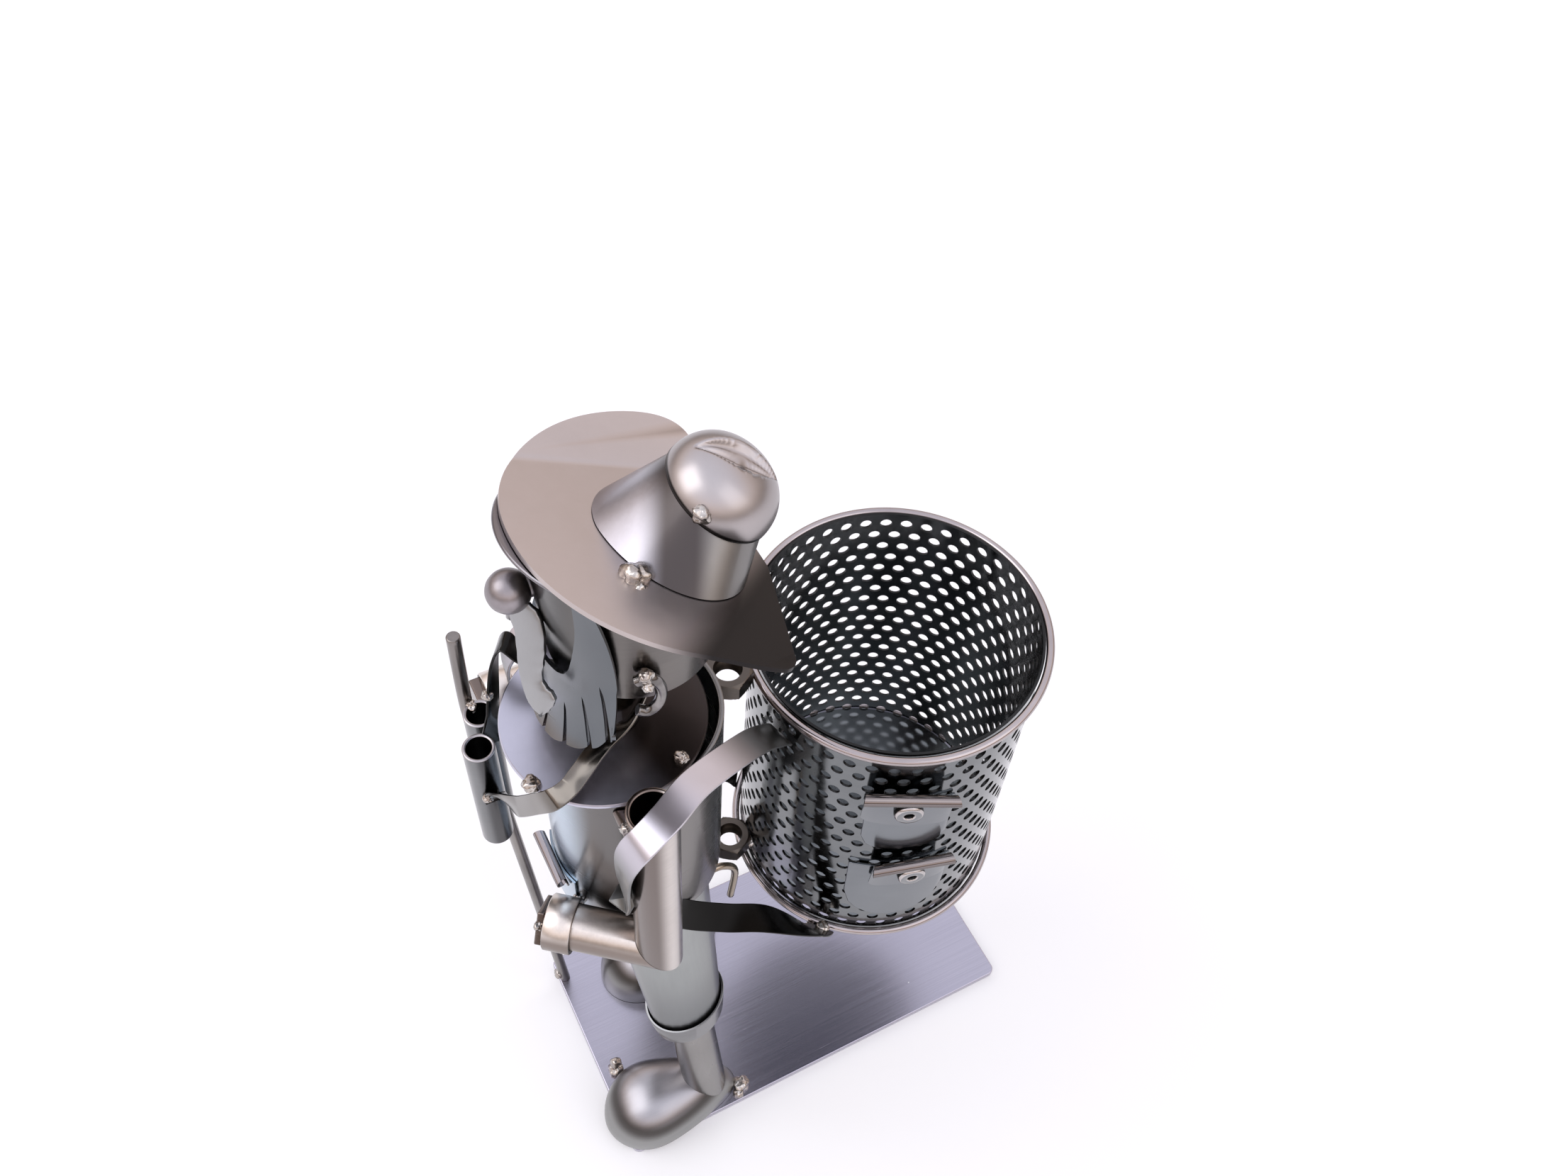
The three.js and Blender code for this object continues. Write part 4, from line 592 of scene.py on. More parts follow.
for side, sign in (("left", 1), ("right", -1)):
    lobe = bmesh.new()
    grid = []
    for i in range(LOBE_ROWS + 1):
        down = -2 + 30.6 * i / LOBE_ROWS
        left, right = along(MOUSTACHE, down)
        row = []
        for k in range(LOBE_COLUMNS + 1):
            share = k / LOBE_COLUMNS
            bow = LOBE_BOW * (1 - (2 * share - 1) ** 2)
            spot = LOBE_AT + lobe_down * down + lobe_right * (left + (right - left) * share) + lobe_face * bow
            off = to_front @ (spot - HEAD)
            off.x *= sign
            row.append(lobe.verts.new(HEAD + to_front.inverted() @ off))
        grid.append(row)
    skinned(lobe, grid)
    fasten(eased(thickened(lobe, 1.8), 0.35, 60), side + "_moustache", "tinted_steel", moustache_finish)


# Ears: each a half link of round rod bent to a hook, with its ends cut square and eased. It is
# welded upright to the side of the head and left bright.
EAR_ANGLE, EAR_LEVEL, EAR_OUT = 84, 284, 24.4
EAR_WIDE, EAR_HIGH, EAR_ROD = 4, 7, 1.5
ear_finish = lacquered("ear_bright_link", (0.12, 0.11, 0.105), (0.34, 0.32, 0.31), 0.18, (200, 200, 200),
                       cloud_size=200)


def swept(points, radius, sides=24, smooth=6):
    """Round rod through a row of points, with eased ends."""
    path = []
    for i in range(len(points) - 1):
        before, here, there = points[max(i - 1, 0)], points[i], points[i + 1]
        after = points[min(i + 2, len(points) - 1)]
        for k in range(smooth):
            t = k / smooth
            path.append(0.5 * ((2 * here) + (there - before) * t
                               + (2 * before - 5 * here + 4 * there - after) * t ** 2
                               + (3 * here - before - 3 * there + after) * t ** 3))
    path.append(points[-1])
    bm = bmesh.new()
    ways = [(path[min(i + 1, len(path) - 1)] - path[max(i - 1, 0)]).normalized() for i in range(len(path))]
    turn = UP.rotation_difference(ways[0]).to_matrix().to_4x4()
    bmesh.ops.create_circle(bm, segments=sides, radius=radius, cap_ends=True,
                            matrix=Matrix.Translation(path[0]) @ turn)
    ends, edges = bm.faces[:], bm.edges[:]
    for i in range(1, len(path)):
        made = bmesh.ops.extrude_edge_only(bm, edges=edges)["geom"]
        ring = [g for g in made if isinstance(g, bmesh.types.BMVert)]
        edges = [g for g in made if isinstance(g, bmesh.types.BMEdge) and all(v in ring for v in g.verts)]
        swing = ways[i - 1].rotation_difference(ways[i]).to_matrix().to_4x4()
        step = Matrix.Translation(path[i]) @ swing @ Matrix.Translation(-path[i - 1])
        bmesh.ops.transform(bm, matrix=step, verts=ring)
    ends += bmesh.ops.contextual_create(bm, geom=edges)["faces"]
    bmesh.ops.recalc_face_normals(bm, faces=bm.faces)
    lips = [e for f in ends for e in f.edges]
    bmesh.ops.bevel(bm, geom=lips, offset=radius * 0.18, segments=2, profile=0.5, affect="EDGES", material=-1)
    return bm


for side, sign in (("left", 1), ("right", -1)):
    link = []
    for turn in range(60, 301, 30):
        off = degrees(EAR_WIDE * cos(radians(turn)) / EAR_OUT)
        link.append(on_face(sign * (EAR_ANGLE - off), EAR_OUT, EAR_LEVEL + EAR_HIGH * sin(radians(turn))))
    fasten(swept(link, EAR_ROD), side + "_ear", "tinted_steel", ear_finish)


# Hat: a flat brim cut straight across at the back, bent up along one side and drooping on the
# other, a leaning cone for the crown and a pressed cap with a pinch in it. The pieces are welded
# together; a painted shadow darkens the foot of the cap, and the cap is polished.
FOLD_FROM, FOLD_TO = Vector((-31.4, -27.7, 0)), Vector((-24.2, 1.5, 0))
FOLD_STEP, FOLD_RISE, FOLD_ROUND = 0.7, 0.16, 2.1
DROOP_FROM, DROOP_WAY, DROOP_STEP, DROOP_FALL = Vector((24, 0, 0)), Vector((0.9, 0.44, 0)), 3.5, 0.0008
NEAR_IN, NEAR_OUT = 0.065, 0.05
FAR_FROM, FAR_IN = -10, 0.89
fold_out = UP.cross((FOLD_TO - FOLD_FROM).normalized())
# Painted reflection darkens the brim towards the back.
brim_finish = lacquered("brim_taupe_satin", (0.50, 0.445, 0.43), (0.58, 0.515, 0.50), 0.36, (200, 200, 200),
                        cloud_size=10, rim=0.0, painted_shading=((0.62, 0.70, 0.35), 88, 101, (0.02, 0.017, 0.017)), **POLISHED)


def scored(bm, start, normal, step, count):
    """Cuts a row of parallel lines across a sheet so that it can be bent there."""
    for i in range(count):
        bmesh.ops.bisect_plane(bm, geom=every(bm), dist=0.001, plane_co=start + step * i, plane_no=normal)


to_hat = HAT.inverted()
brim = softened("hat_brim", 0.3)
bmesh.ops.transform(brim, matrix=to_hat, verts=brim.verts)
scored(brim, FOLD_FROM, fold_out, fold_out * FOLD_STEP, 4)
for vert in brim.verts:
    past = (vert.co - FOLD_FROM).dot(fold_out)
    if past > 0:
        vert.co.z += past * FOLD_RISE * min(1.0, past / FOLD_ROUND)
scored(brim, DROOP_FROM, DROOP_WAY, Vector((DROOP_STEP, 0, 0)), 7)
for vert in brim.verts:
    past = (vert.co - DROOP_FROM).dot(DROOP_WAY)
    if past > 0:
        vert.co.z -= DROOP_FALL * past * past
    if vert.co.x > 0:
        vert.co.x *= 1 - NEAR_IN * clamped((5 - vert.co.y) / 20) + NEAR_OUT * clamped((vert.co.y + 10) / 12)
    elif vert.co.x < FAR_FROM:
        vert.co.x = FAR_FROM + (vert.co.x - FAR_FROM) * FAR_IN
bmesh.ops.transform(brim, matrix=HAT, verts=brim.verts)
fasten(brim, "hat_brim", "tinted_steel", brim_finish, sharp=60)

# The crown stands on the brim; the points of its foot are spread to an oval on the figure's left.
CROWN = (Matrix.Translation(FIGURE + Vector((0, 12.3, 306))) @ Matrix.Rotation(radians(-33), 4, "X")
         @ Matrix.Rotation(radians(11), 4, "Y"))
CROWN_UP = (CROWN.to_3x3() @ UP).normalized()
CROWN_FOOT, FOOT_LEFT, FOOT_LONG, FOOT_AHEAD = 3, 0.42, 0.94, 2
# Painted shade darkens the crown across its middle along ASIDE, with a lighter painted band beyond it.
crown_finish = lacquered("crown_satin", (0.58, 0.57, 0.64), (0.66, 0.65, 0.72), 0.32, (600, 600, 40), marks=0.04,
                         bump=0.03, painted_shading=(ASIDE, -46, -38, (0.10, 0.088, 0.088)),
                         painted_shading_over=(ASIDE, -32, -27, (0.28, 0.27, 0.262)))
crown = turned([(22.8, -20.9), (23.8, -20.9), (13.6, 20.7), (13.3, 20.9), (12.9, 20.9), (12.6, 20.7)], 128)
bmesh.ops.transform(crown, matrix=CROWN, verts=crown.verts)
mitred(crown, HAT @ Vector((0, 0, 0.9)), HAT_UP)
for vert in crown.verts:
    foot = to_hat @ vert.co
    if foot.z < CROWN_FOOT:
        left = foot.x + FOOT_LEFT * max(foot.x, 0.0)
        vert.co = HAT @ Vector((left, foot.y * FOOT_LONG - FOOT_AHEAD, foot.z))
fasten(crown, "hat_crown", "tinted_steel", crown_finish)

# The cap is a flattened dome; the pinch is a lens-shaped hollow with a ripple across it.
CAP_FOOT, CAP_RADIUS, CAP_HEIGHT, CAP_SHOULDER = 21.2, 14.5, 11.5, 0.72
PINCH_AT, PINCH_WAY = Vector((-1.6, -0.3)), Vector((0.36, 0.93))
PINCH_LONG, PINCH_WIDE, PINCH_DEEP, PINCH_OVER = 11.0, 4.2, 2.6, 3.5
seam = (CROWN @ Vector((0, 0, CAP_FOOT))).dot(CROWN_UP)
# A painted shadow darkens the cap's lowest edge, where it overhangs the crown.
cap_finish = lacquered("cap_polished", (0.50, 0.46, 0.46), (0.58, 0.535, 0.535), 0.33, (200, 200, 200),
                       painted_shading=(-CROWN_UP, -seam - 1.3, -seam - 0.7, (0.03, 0.026, 0.024)), **POLISHED)
dome = [(CAP_RADIUS * cos(radians(a)) ** CAP_SHOULDER, CAP_HEIGHT * sin(radians(a))) for a in range(87, -1, -3)]
cap = turned([(0, CAP_HEIGHT)] + dome + [(14.1, -0.2), (13.5, 0), (13.3, 1.5), (0, 1.5)], 160)
for vert in cap.verts:
    if vert.co.z > PINCH_OVER:
        off = vert.co.xy - PINCH_AT
        u = off.dot(PINCH_WAY) / PINCH_LONG
        v = (off.y * PINCH_WAY.x - off.x * PINCH_WAY.y) / (PINCH_WIDE * max(1 - u * u, 0.01))
        room = max(0.0, 1 - v * v) * max(0.0, 1 - u * u)
        vert.co.z -= PINCH_DEEP * room ** 0.6 * (1 + 0.16 * cos(v * 9))
bmesh.ops.transform(cap, matrix=CROWN @ Matrix.Translation((0, 0, CAP_FOOT)), verts=cap.verts)
fasten(cap, "hat_cap", "tinted_steel", cap_finish, sharp=70)


# Walking stick: a round bar bent a little at the hand, cut square at the top and welded to the
# plate. Left darker than the figure.
STICK_RADIUS, STICK_X = 2.0, -33.8
STICK = [(23.3, 3.3), (31.2, 137), (34.1, 188), (36.2, 212), (36.6, 224), (35.9, 253.6)]
stick_finish = lacquered("stick_dark_satin", (0.22, 0.20, 0.19), (0.36, 0.33, 0.31), 0.3, (700, 700, 40))
stick = swept([FIGURE + Vector((STICK_X, -ahead, z)) for ahead, z in STICK], STICK_RADIUS, smooth=10)
fasten(stick, "walking_stick", "tinted_steel", stick_finish)


# Binoculars: two short lengths of thin tube held side by side by the neck strap. They are nearly
# black with painted shade on one side, with bright cut rims and bores painted black as shade.
BARREL_RADIUS, BARREL_WALL, BARREL_LOW, BARREL_HIGH, BARREL_EASE = 4.65, 1, 175.5, 224.5, 0.25
BARRELS = {"right": Vector((-26.85, -34.8, 0)), "left": Vector((-16.3, -38.8, 0))}
# Painted shade darkens each barrel on its side along ASIDE.
barrel_finish = lacquered("binocular_black_steel", (0.20, 0.205, 0.21), (0.28, 0.285, 0.29), 0.24, (60, 60, 900),
                          painted_shading=(ASIDE, -93.0, -90.6, (0.085, 0.084, 0.088)))
cut_finish = lacquered("binocular_cut_rim", (0.42, 0.39, 0.40), (0.55, 0.52, 0.53), 0.3, (500, 500, 500))
# The bores are painted near black as shade.
painted_bore_shade = lacquered("binocular_bore_painted_shade", (0.008, 0.008, 0.008), (0.016, 0.016, 0.016), 0.5, (300, 300, 300))
for side, spot in BARRELS.items():
    barrel = turned(pipe(BARREL_RADIUS, BARREL_WALL, BARREL_LOW, BARREL_HIGH, BARREL_EASE), 72)
    # Upper faces take the cut-rim finish and inner faces the painted shade.
    for face in barrel.faces:
        out = face.calc_center_median() * Vector((1, 1, 0))
        face.material_index = 1 if face.normal.z > 0.5 else 2 if face.normal.dot(out) < 0 else 0
    moved(barrel, FIGURE + spot)
    fasten(barrel, side + "_binocular", "tinted_steel", barrel_finish, cut_finish, painted_bore_shade)


# Straps: flat strip with rolled edges, bent from the basket over each shoulder, round the arm and
# back under it to the basket's lower wire, and a narrower one from the neck to the binoculars.
# Each row of a strap's path is a place and the direction across the strip there.
STRAP_WIDTH, NECK_WIDTH, STRAP_THICKNESS = 9, 6, 0.8
OVER_ARM = [((10.9, -13.8, 214), (0.97, 0.24, 0)), ((13.7, -17.8, 221), (0.97, 0.24, 0)),
            ((22, -30, 237.5), (0.95, 0.25, 0)), ((32, -50.5, 249), (0.95, 0.3, 0)),
            ((39.5, -62.8, 252.3), (0.95, 0.3, 0)), ((42.3, -70.5, 250.5), (0.95, 0.25, 0)),
            ((42, -74.6, 245), (0.95, 0.2, 0)), ((40.8, -76.4, 236.5), (0.98, 0.05, 0.1)),
            ((37.6, -75.6, 217.5), (0.8, -0.1, 0.5)), ((30.8, -71.8, 196), (0, -0.2, 0.95)),
            ((27.1, -63, 181), (0, -0.3, 0.95))]
UNDER_ARM = [((27.2, -61, 176), (-0.2, -0.1, 0.95)), ((28.2, -53.5, 163), (-0.7, 0.3, 0.62)),
             ((29.5, -40, 149.5), (-0.72, 0.34, 0.6)), ((31, -26, 137.6), (-0.8, 0.1, 0.4)),
             ((34.5, -9.5, 119), (-0.75, -0.6, 0.1)), ((33.2, -4.4, 112.6), (-0.72, -0.69, 0))]
NECK_LOOP = [((-11.2, -94.6, 201.5), (0, 1, 0)), ((-11, -94.5, 205), (0.1, 0.95, -0.1)),
             ((-8.2, -94.2, 209), (0.4, 0.8, -0.3)), ((-3.5, -93.4, 212.8), (0.7, 0.3, -0.45)),
             ((4.2, -92, 222), (0.84, -0.1, -0.4)), ((13.2, -89.3, 236), (0.9, 0.1, -0.35)),
             ((19, -86.4, 245.2), (0.93, 0.2, -0.15)), ((19.1, -81.4, 248), (0.95, 0.15, 0)),
             ((16.7, -76.5, 249.5), (0.95, 0.1, 0)), ((13.1, -69.5, 252), (0.95, 0.2, 0.1)),
             ((10.5, -59.3, 255.8), (0.6, 0, 0.7)), ((0, -49.8, 258.8), (0, 0.3, 0.95)),
             ((-10.5, -59.3, 255.8), (-0.6, 0, 0.7)), ((-13.5, -70.3, 251.3), (-0.95, 0.2, 0.1)),
             ((-19.5, -77.8, 254.8), (-0.95, 0.3, 0)), ((-25, -81.3, 256.3), (-0.8, 0.5, 0.1)),
             ((-27, -84.3, 246.8), (-0.7, 0.6, 0.1)), ((-22.5, -88.3, 231), (-0.5, 0.6, 0.3)),
             ((-21.8, -91.1, 216), (0, 1, 0))]
# Painted shade darkens the shoulder strap towards the back and on its lower parts.
strap_finish = lacquered("strap_satin", (0.70, 0.665, 0.73), (0.80, 0.765, 0.83), 0.36, (120, 120, 120),
                         painted_shading=((-0.3, 0.8, 0.45), 68, 96, (0.10, 0.085, 0.075)),
                         painted_shading_over=(DOWN, -247, -234, (0.20, 0.20, 0.195)), **POLISHED)
dark_strap_finish = lacquered("strap_black_nickel", (0.008, 0.0075, 0.007), (0.018, 0.017, 0.016), 0.24,
                              (120, 120, 120), coat=0.05, **POLISHED)
# Painted shade turns the neck strap near black on the figure's right side.
neck_strap_finish = lacquered("neck_strap_gold_painted_shade", (0.15, 0.135, 0.12), (0.26, 0.235, 0.21), 0.2, (120, 120, 120),
                              painted_shading=((-1, 0, 0), 2, 8, (0.012, 0.011, 0.01)), **POLISHED)


def ribbon(path, width, sign=1, smooth=12):
    """Flat strip along a path, or along its mirror image for sign -1, with eased edges."""
    stations = [(Vector((sign * p[0], *p[1:])), Vector((sign * w[0], *w[1:]))) for p, w in path]
    rail = []
    for i in range(len(stations) - 1):
        rows = [stations[min(max(k, 0), len(stations) - 1)] for k in (i - 1, i, i + 1, i + 2)]
        for k in range(smooth + (i == len(stations) - 2)):
            t = k / smooth
            weights = (-t + 2 * t ** 2 - t ** 3, 2 - 5 * t ** 2 + 3 * t ** 3, t + 4 * t ** 2 - 3 * t ** 3,
                       t ** 3 - t ** 2)
            at = sum((row[0] * w for row, w in zip(rows, weights)), Vector()) / 2
            rail.append((at, rows[1][1] * (1 - t) + rows[2][1] * t))
    bm = bmesh.new()
    lines = []
    for i, (at, across) in enumerate(rail):
        run = rail[min(i + 1, len(rail) - 1)][0] - rail[max(i - 1, 0)][0]
        across = (across - run * (across.dot(run) / run.dot(run))).normalized() * (width / 2)
        lines.append([bm.verts.new(spot) for spot in (at - across, at, at + across)])
    skinned(bm, lines)
    return eased(thickened(bm, STRAP_THICKNESS), 0.22, 50)


fasten(ribbon(OVER_ARM, STRAP_WIDTH), "left_shoulder_strap", "black_nickel", strap_finish)
fasten(softened("right_shoulder_strap", 0.2), "right_shoulder_strap", "black_nickel", strap_finish)
for side, sign in (("left", 1), ("right", -1)):
    strap = ribbon(UNDER_ARM, STRAP_WIDTH, sign)
    fasten(strap, side + "_lower_strap", "black_nickel", dark_strap_finish)
fasten(ribbon(NECK_LOOP, NECK_WIDTH), "neck_strap", "black_nickel", neck_strap_finish)


# Nuts: two dark hexagon nuts stand between the torso and the basket and hold the basket off the
# figure's back. Their ends are chamfered and the hole is threaded.
BASKET = Vector((0, 30, 0))
on_basket = about(BASKET)
FLATS, HOLE_RADIUS, NUT_HEIGHT = 13, 3.75, 6.5
PITCH, THREAD, CHAMFER, CHAMFER_SLOPE = 1.25, 0.45, 0.96, 1.7
LOWER_NUT_ANGLE = -6.8
nut_finish = lacquered("nut_dark_bronze", (0.085, 0.07, 0.06), (0.15, 0.125, 0.105), 0.32, (200, 200, 900), bump=0.12)


def hexagon_nut():
    """Turned blank pressed out to six flats, with chamfered ends and thread rings in the hole."""
    half = FLATS / 2
    outline = [(HOLE_RADIUS + 0.5, 0), (HOLE_RADIUS, 0.5)]
    z = 0.5
    while z + PITCH < NUT_HEIGHT - 0.3:
        outline += [(HOLE_RADIUS + THREAD, z + PITCH * 0.5), (HOLE_RADIUS, z + PITCH)]
        z += PITCH
    outline += [(HOLE_RADIUS + 0.5, NUT_HEIGHT), (half * CHAMFER, NUT_HEIGHT)]
    outline += [(half, NUT_HEIGHT - h) for h in (0.25, 0.5, 0.8, 1.2)]
    outline += [(half, h) for h in (1.2, 0.8, 0.5, 0.25)] + [(half * CHAMFER, 0)]
    bm = turned(outline)
    for vert in bm.verts:
        radius = hypot(vert.co.x, vert.co.y)
        if radius > half - 0.05:
            angle = (degrees(atan2(vert.co.y, vert.co.x)) % 60) - 30
            inset = min(vert.co.z, NUT_HEIGHT - vert.co.z)
            across = min(half / cos(radians(angle)), half * CHAMFER + inset * CHAMFER_SLOPE)
            vert.co.xy *= across / radius
    return bm


upper = moved(hexagon_nut(), FIGURE + Vector((-5.5, 32.6, 226)))
fasten(upper, "upper_nut", "dark_nut", nut_finish, sharp=28)
lower = moved(swung(hexagon_nut(), LOWER_NUT_ANGLE), on_basket(LOWER_NUT_ANGLE, 44.3 + FLATS / 2, 121))
fasten(lower, "lower_nut", "dark_nut", nut_finish, sharp=28)


# Belt hook: a thin rod bent over behind the trousers and hung below the jacket, welded to the
# hip disc at its upper end. Brown bronze lacquer.
HOOK = [(14, 17.9, 152), (14, 22.9, 151.4), (14, 27.4, 144.5), (14, 26.2, 127)]
HOOK_RADIUS = 1.2
hook_finish = lacquered("hook_bronze", (0.32, 0.26, 0.20), (0.46, 0.38, 0.30), 0.25, (200, 200, 200))
hook = swept([FIGURE + Vector(spot) for spot in HOOK], HOOK_RADIUS)
fasten(hook, "belt_hook", "tinted_steel", hook_finish)


# Basket: perforated sheet rolled into a cylinder, with a wire welded round each edge and a plain
# floor. All of it is bright black nickel. One cell of sheet with its hole is drawn flat, bent,
# spun into a row and copied up the basket, every second row turned by half a cell.
RADIUS, BOTTOM, TOP, SHEET = 44.0, 111.0, 228.0, 0.8
AROUND, ROWS, HOLE, CELL_HIGH = 42, 20, 1.95, 5.7
WIRE_RADIUS, WIRE_OUT, WIRE_SIDES = 1.3, 45.6, 20
nickel_finish = lacquered("basket_black_nickel", (0.17, 0.18, 0.185), (0.25, 0.265, 0.275), 0.13, (60, 60, 500),
                          bump=0.012)
# The walls of the punched holes are painted near black as shade.
painted_hole_shade = lacquered("hole_wall_painted_shade", (0.02, 0.02, 0.02), (0.04, 0.04, 0.04), 0.4, (300, 300, 300))
rim_finish = lacquered("rim_wire_nickel", (0.44, 0.385, 0.385), (0.58, 0.52, 0.52), 0.16, (90, 90, 90), bump=0.03)
cell_wide = 2 * pi * RADIUS / AROUND
margin = (TOP - BOTTOM - ROWS * CELL_HIGH) / 2
shell = bmesh.new()
bmesh.ops.create_circle(shell, segments=12, radius=HOLE)
border = [(x, -0.5) for x in (-0.5, -0.25, 0, 0.25)] + [(0.5, y) for y in (-0.5, 0)]
border += [(-x, -y) for x, y in border]
corners = [shell.verts.new((x * cell_wide, y * CELL_HIGH, 0)) for x, y in border]
for pair in zip(corners, corners[1:] + corners[:1]):
    shell.edges.new(pair)
bmesh.ops.bridge_loops(shell, edges=shell.edges[:])
for vert in shell.verts:
    angle = vert.co.x / RADIUS
    vert.co = Vector((RADIUS * sin(angle), -RADIUS * cos(angle), vert.co.y))
bmesh.ops.spin(shell, geom=every(shell), cent=(0, 0, 0), axis=(0, 0, 1), angle=2 * pi * (AROUND - 1) / AROUND,
               steps=AROUND - 1, use_duplicate=True)
bmesh.ops.remove_doubles(shell, verts=shell.verts, dist=0.02)
row = every(shell)
for i in range(1, ROWS):
    copy = bmesh.ops.duplicate(shell, geom=row)["geom"]
    points = [g for g in copy if isinstance(g, bmesh.types.BMVert)]
    half_cell = Matrix.Rotation((i % 2) * pi / AROUND, 3, "Z")
    bmesh.ops.rotate(shell, cent=(0, 0, 0), matrix=half_cell, verts=points)
    bmesh.ops.translate(shell, vec=(0, 0, i * CELL_HIGH), verts=points)
bmesh.ops.remove_doubles(shell, verts=shell.verts, dist=0.02)
moved(shell, (0, 0, BOTTOM + margin + CELL_HIGH / 2))
for level, way in ((BOTTOM + margin, -1), (TOP - margin, 1)):
    lip = [e for e in shell.edges if e.is_boundary and all(abs(v.co.z - level) < 0.05 for v in e.verts)]
    made = bmesh.ops.extrude_edge_only(shell, edges=lip)["geom"]
    points = [g for g in made if isinstance(g, bmesh.types.BMVert)]
    bmesh.ops.translate(shell, vec=(0, 0, way * margin), verts=points)
bmesh.ops.recalc_face_normals(shell, faces=shell.faces)
bmesh.ops.solidify(shell, geom=shell.faces[:], thickness=SHEET)
moved(shell, BASKET)
# Hole walls and cut edges take the painted shade.
for face in shell.faces:
    out = face.calc_center_median() - BASKET
    out.z = 0
    face.material_index = 1 if abs(face.normal.dot(out.normalized())) < 0.5 else 0
fasten(shell, "basket_shell", "black_nickel", nickel_finish, painted_hole_shade)
turns = [2 * pi * k / WIRE_SIDES for k in range(WIRE_SIDES)]
for node, z in (("basket_top_rim", TOP - WIRE_RADIUS), ("basket_bottom_rim", BOTTOM + WIRE_RADIUS)):
    wire = turned([(WIRE_OUT + WIRE_RADIUS * cos(a), z + WIRE_RADIUS * sin(a)) for a in turns], 200)
    fasten(moved(wire, BASKET), node, "black_nickel", rim_finish)
refinish("basket_floor", nickel_finish)


# Basket pockets: two patches of sheet with rounded lower corners, each under a flap whose upper
# edge is rolled outwards and runs straight off the shell, held by a washer with a hollow rivet.
# Each row of FLAPS is its start, end, foot, head and lean; of RIVETS its angle, radius and height.
FLAP_OUT, FLAP_ROLL, FLAP_SHEET = 46.9, 1.9, 0.7
FLAPS = {"upper": (50.5, 83.5, 192.5, 210.2, -1.6), "lower": (58.5, 88.5, 152.5, 168.0, 0.6)}
RIVETS = {"upper": (67.2, 47.7, 201.0), "lower": (73.8, 48.6, 160.9)}
WASHER = [(0, 0.1), (1.4, 0.1), (1.5, 1.2), (1.9, 1.5), (3.7, 1.5), (4.4, 0.8), (4.5, -1.2), (0, -1.2)]
pocket_finish = lacquered("pocket_black_nickel", (0.20, 0.215, 0.235), (0.265, 0.285, 0.305), 0.15, (60, 60, 500),
                          **POLISHED)
flap_finish = lacquered("flap_nickel", (0.215, 0.23, 0.25), (0.285, 0.30, 0.32), 0.15, (60, 60, 500), **POLISHED)
# The rolls get a lighter, warmer finish as a painted highlight, with strong painted edge shade.
painted_roll_highlight = lacquered("flap_roll_painted_highlight", (0.28, 0.24, 0.235), (0.36, 0.32, 0.31), 0.12, (90, 90, 90), rim=0.9,
                        **POLISHED)
rivet_finish = lacquered("rivet_nickel", (0.28, 0.285, 0.295), (0.36, 0.365, 0.375), 0.16, (200, 200, 200), **POLISHED)
# The washer chamfers are given a lighter finish.
edge_finish = lacquered("washer_chamfer_lighter", (0.58, 0.54, 0.53), (0.68, 0.64, 0.63), 0.22, (90, 90, 90), **POLISHED)
for node in ("upper_pocket", "lower_pocket"):
    fasten(softened(node, 0.25), node, "black_nickel", pocket_finish)
for level, (start, end, foot, head, lean) in FLAPS.items():
    rolled = roll(FLAP_ROLL, FLAP_OUT, head)
    outline = [(46.7, foot), (46.7, foot + 0.6 * (head - foot)), (FLAP_OUT, head - 1.6)] + rolled
    place = flap_on(BASKET, (start + end) / 2, foot + 3, head - 3)
    flap = rolled_sheet(outline, start, end, lean, place, FLAP_SHEET, bright=len(rolled) - 1)
    fasten(flap, level + "_pocket_flap", "black_nickel", flap_finish, painted_roll_highlight, sharp=40)
for level, (angle, radius, z) in RIVETS.items():
    washer = turned(WASHER, 64)
    # Upright walls take the painted shade, chamfers a lighter finish, flat faces the nickel.
    for face in washer.faces:
        level_face = abs(face.normal.z)
        face.material_index = 1 if level_face < 0.5 else 2 if level_face < 0.9 else 0
    aim(washer, on_basket(angle, radius, z), on_basket(angle, radius + 10, z))
    fasten(washer, level + "_pocket_rivet", "dark_nut", rivet_finish, painted_hole_shade, edge_finish)


# Welds: small beads where the pieces are joined, some of them coppery, left as they cooled. Each
# is a lump with a rippled skin, given as a place and a radius.
WELDS = [((14.7, -58.3, 318.0), 3.3), ((17.6, -58.6, 316.6), 2.2), ((13.4, -41.5, 329.8), 2.2),
         ((24.0, -60.6, 292.6), 1.9), ((25.0, -60.4, 289.4), 1.5), ((12.4, -88.9, 245.0), 2.4),
         ((21.4, -50.6, 243.9), 2.0), ((34.4, -71.8, 244.6), 1.8), ((10.6, -80.4, 164.8), 2.2),
         ((33.6, -4.4, 113.6), 2.4), ((30.6, -7.4, 112.2), 1.7), ((-22.6, -88.6, 237.6), 1.6),
         ((-11.6, -96.4, 205.0), 1.5), ((-30.4, -92.0, 223.4), 1.8), ((37.8, -34.4, 4.4), 3.2),
         ((40.6, -36.8, 4.0), 2.0), ((30.0, -58.8, 19.4), 2.4), ((16.1, -95.1, 171.0), 1.5),
         ((-36.2, -80.6, 4.2), 2.4), ((-34.0, -81.6, 8.6), 1.9), ((-3.0, -14.6, 122.4), 2.2),
         ((-9.6, -15.0, 123.2), 1.8), ((-6.2, -30.4, 229.0), 1.6), ((36.4, -64.4, 163.6), 1.2),
         ((10.6, -76.0, 4.4), 2.7), ((9.6, -75.6, 7.8), 2.2)]
weld_finish = lacquered("weld_silver", (0.40, 0.34, 0.30), (0.72, 0.68, 0.64), 0.2, (900, 900, 900), cloud_size=420,
                        marks=0.15, bump=0.3)
beads = bmesh.new()
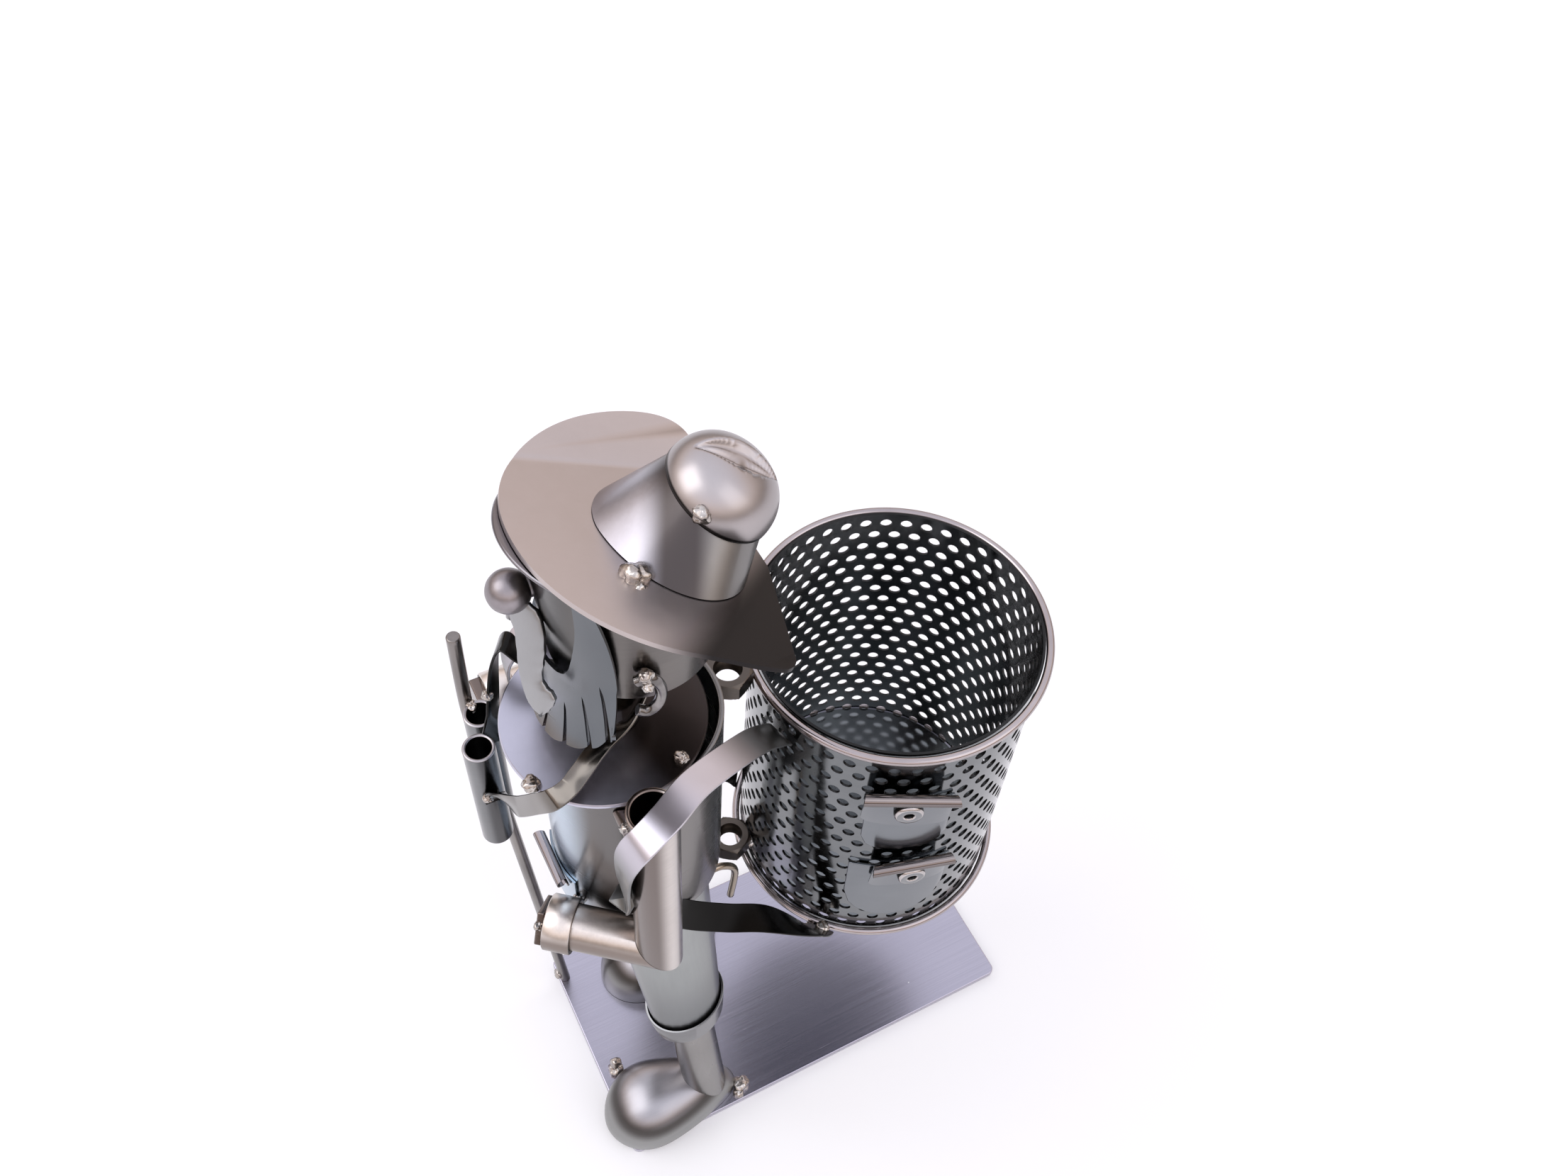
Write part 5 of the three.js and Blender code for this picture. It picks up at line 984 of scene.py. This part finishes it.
for i, (spot, size) in enumerate(WELDS):
    lump = bmesh.ops.create_icosphere(beads, subdivisions=4, radius=1)["verts"]
    drift = Vector((i * 3.7, i * 1.9, i * 2.3))
    for vert in lump:
        swell = 1 + 0.34 * noise.noise(vert.co * 1.3 + drift) + 0.12 * noise.noise(vert.co * 4.1 + drift)
        vert.co = Vector(spot) + vert.co * size * swell
to_metres(beads)
on_root(beads, "weld_beads", [weld_finish])


# Stage: a pale floor, a soft sky with a darker, warmer horizon, two large soft lamps, and the
# camera where the picture was taken from.
SKY = ((0.12, (0.36, 0.29, 0.25, 1)), (0.23, (0.80, 0.66, 0.58, 1)), (0.36, (1.1, 0.96, 0.90, 1)),
       (0.6, (1.0, 0.98, 1.06, 1)))
HORIZON, ZENITH = (0.22, 0.18, 0.15, 1), (0.95, 0.97, 1.08, 1)
LAMPS = (("key_softbox", (-0.5, -1.4, 1.8), 1.6, 12), ("fill_softbox", (1.4, 0.8, 1.7), 1.6, 4))
LAMP_AIM = Vector((0, 0, 0.15))
scene = bpy.context.scene
ground = bmesh.new()
bmesh.ops.create_grid(ground, x_segments=1, y_segments=1, size=6)
floor_mesh = bpy.data.meshes.new("studio_floor")
ground.to_mesh(floor_mesh)
ground.free()
floor = bpy.data.objects.new("studio_floor", floor_mesh)
scene.collection.objects.link(floor)
floor_finish = bpy.data.materials.new("studio_floor_white")
floor_finish.use_nodes = True
tree = floor_finish.node_tree
paint = tree.nodes["Principled BSDF"]
paint.inputs["Base Color"].default_value = (0.86, 0.86, 0.87, 1)
paint.inputs["Roughness"].default_value = 0.9
paint.inputs["Specular IOR Level"].default_value = 0.1
paint.inputs["Emission Color"].default_value = (1, 1, 1, 1)
seen = wired(tree, "LightPath", {})
either = wired(tree, "Math", {0: seen.outputs["Is Camera Ray"], 1: seen.outputs["Is Glossy Ray"]}, operation="MAXIMUM")
glow = wired(tree, "Math", {0: either.outputs["Value"], 1: 0.14}, operation="MULTIPLY")
tree.links.new(glow.outputs["Value"], paint.inputs["Emission Strength"])
floor_mesh.materials.append(floor_finish)

world = bpy.data.worlds.new("soft_sky")
scene.world = world
world.use_nodes = True
tree = world.node_tree
way = wired(tree, "TexCoord", {})
parts = wired(tree, "SeparateXYZ", {"Vector": way.outputs["Generated"]})
ramp = wired(tree, "ValToRGB", {"Fac": parts.outputs["Z"]})
for stop, position, colour in zip(ramp.color_ramp.elements, (0.0, 1.0), (HORIZON, ZENITH)):
    stop.position = position
    stop.color = colour
for position, colour in SKY:
    ramp.color_ramp.elements.new(position).color = colour
tree.links.new(ramp.outputs["Color"], tree.nodes["Background"].inputs["Color"])
tree.nodes["Background"].inputs["Strength"].default_value = 1.0
for name, spot, size, watts in LAMPS:
    lamp = bpy.data.lights.new(name, "AREA")
    lamp.shape = "SQUARE"
    lamp.size = size
    lamp.energy = watts
    light = bpy.data.objects.new(name, lamp)
    light.location = spot
    light.rotation_mode = "QUATERNION"
    light.rotation_quaternion = (LAMP_AIM - Vector(spot)).to_track_quat("-Z", "Y")
    scene.collection.objects.link(light)

FOCAL_PIXELS, PICTURE_PIXELS, SENSOR = 1998.563, 2212, 36
azimuth, elevation, tilt = radians(58.815), radians(52.74), radians(4.748)
lens = bpy.data.cameras.new("photo_camera")
lens.sensor_width = SENSOR
lens.lens = SENSOR * FOCAL_PIXELS / PICTURE_PIXELS
camera = bpy.data.objects.new("photo_camera", lens)
back = Vector((sin(azimuth) * cos(elevation), -cos(azimuth) * cos(elevation), sin(elevation)))
camera.rotation_mode = "QUATERNION"
camera.rotation_quaternion = (-back).to_track_quat("-Z", "Y") @ Matrix.Rotation(tilt, 4, "Z").to_quaternion()
camera.location = (0.194064, -0.12808, 0.567826)
scene.collection.objects.link(camera)
scene.camera = camera
scene.view_settings.view_transform = "Standard"
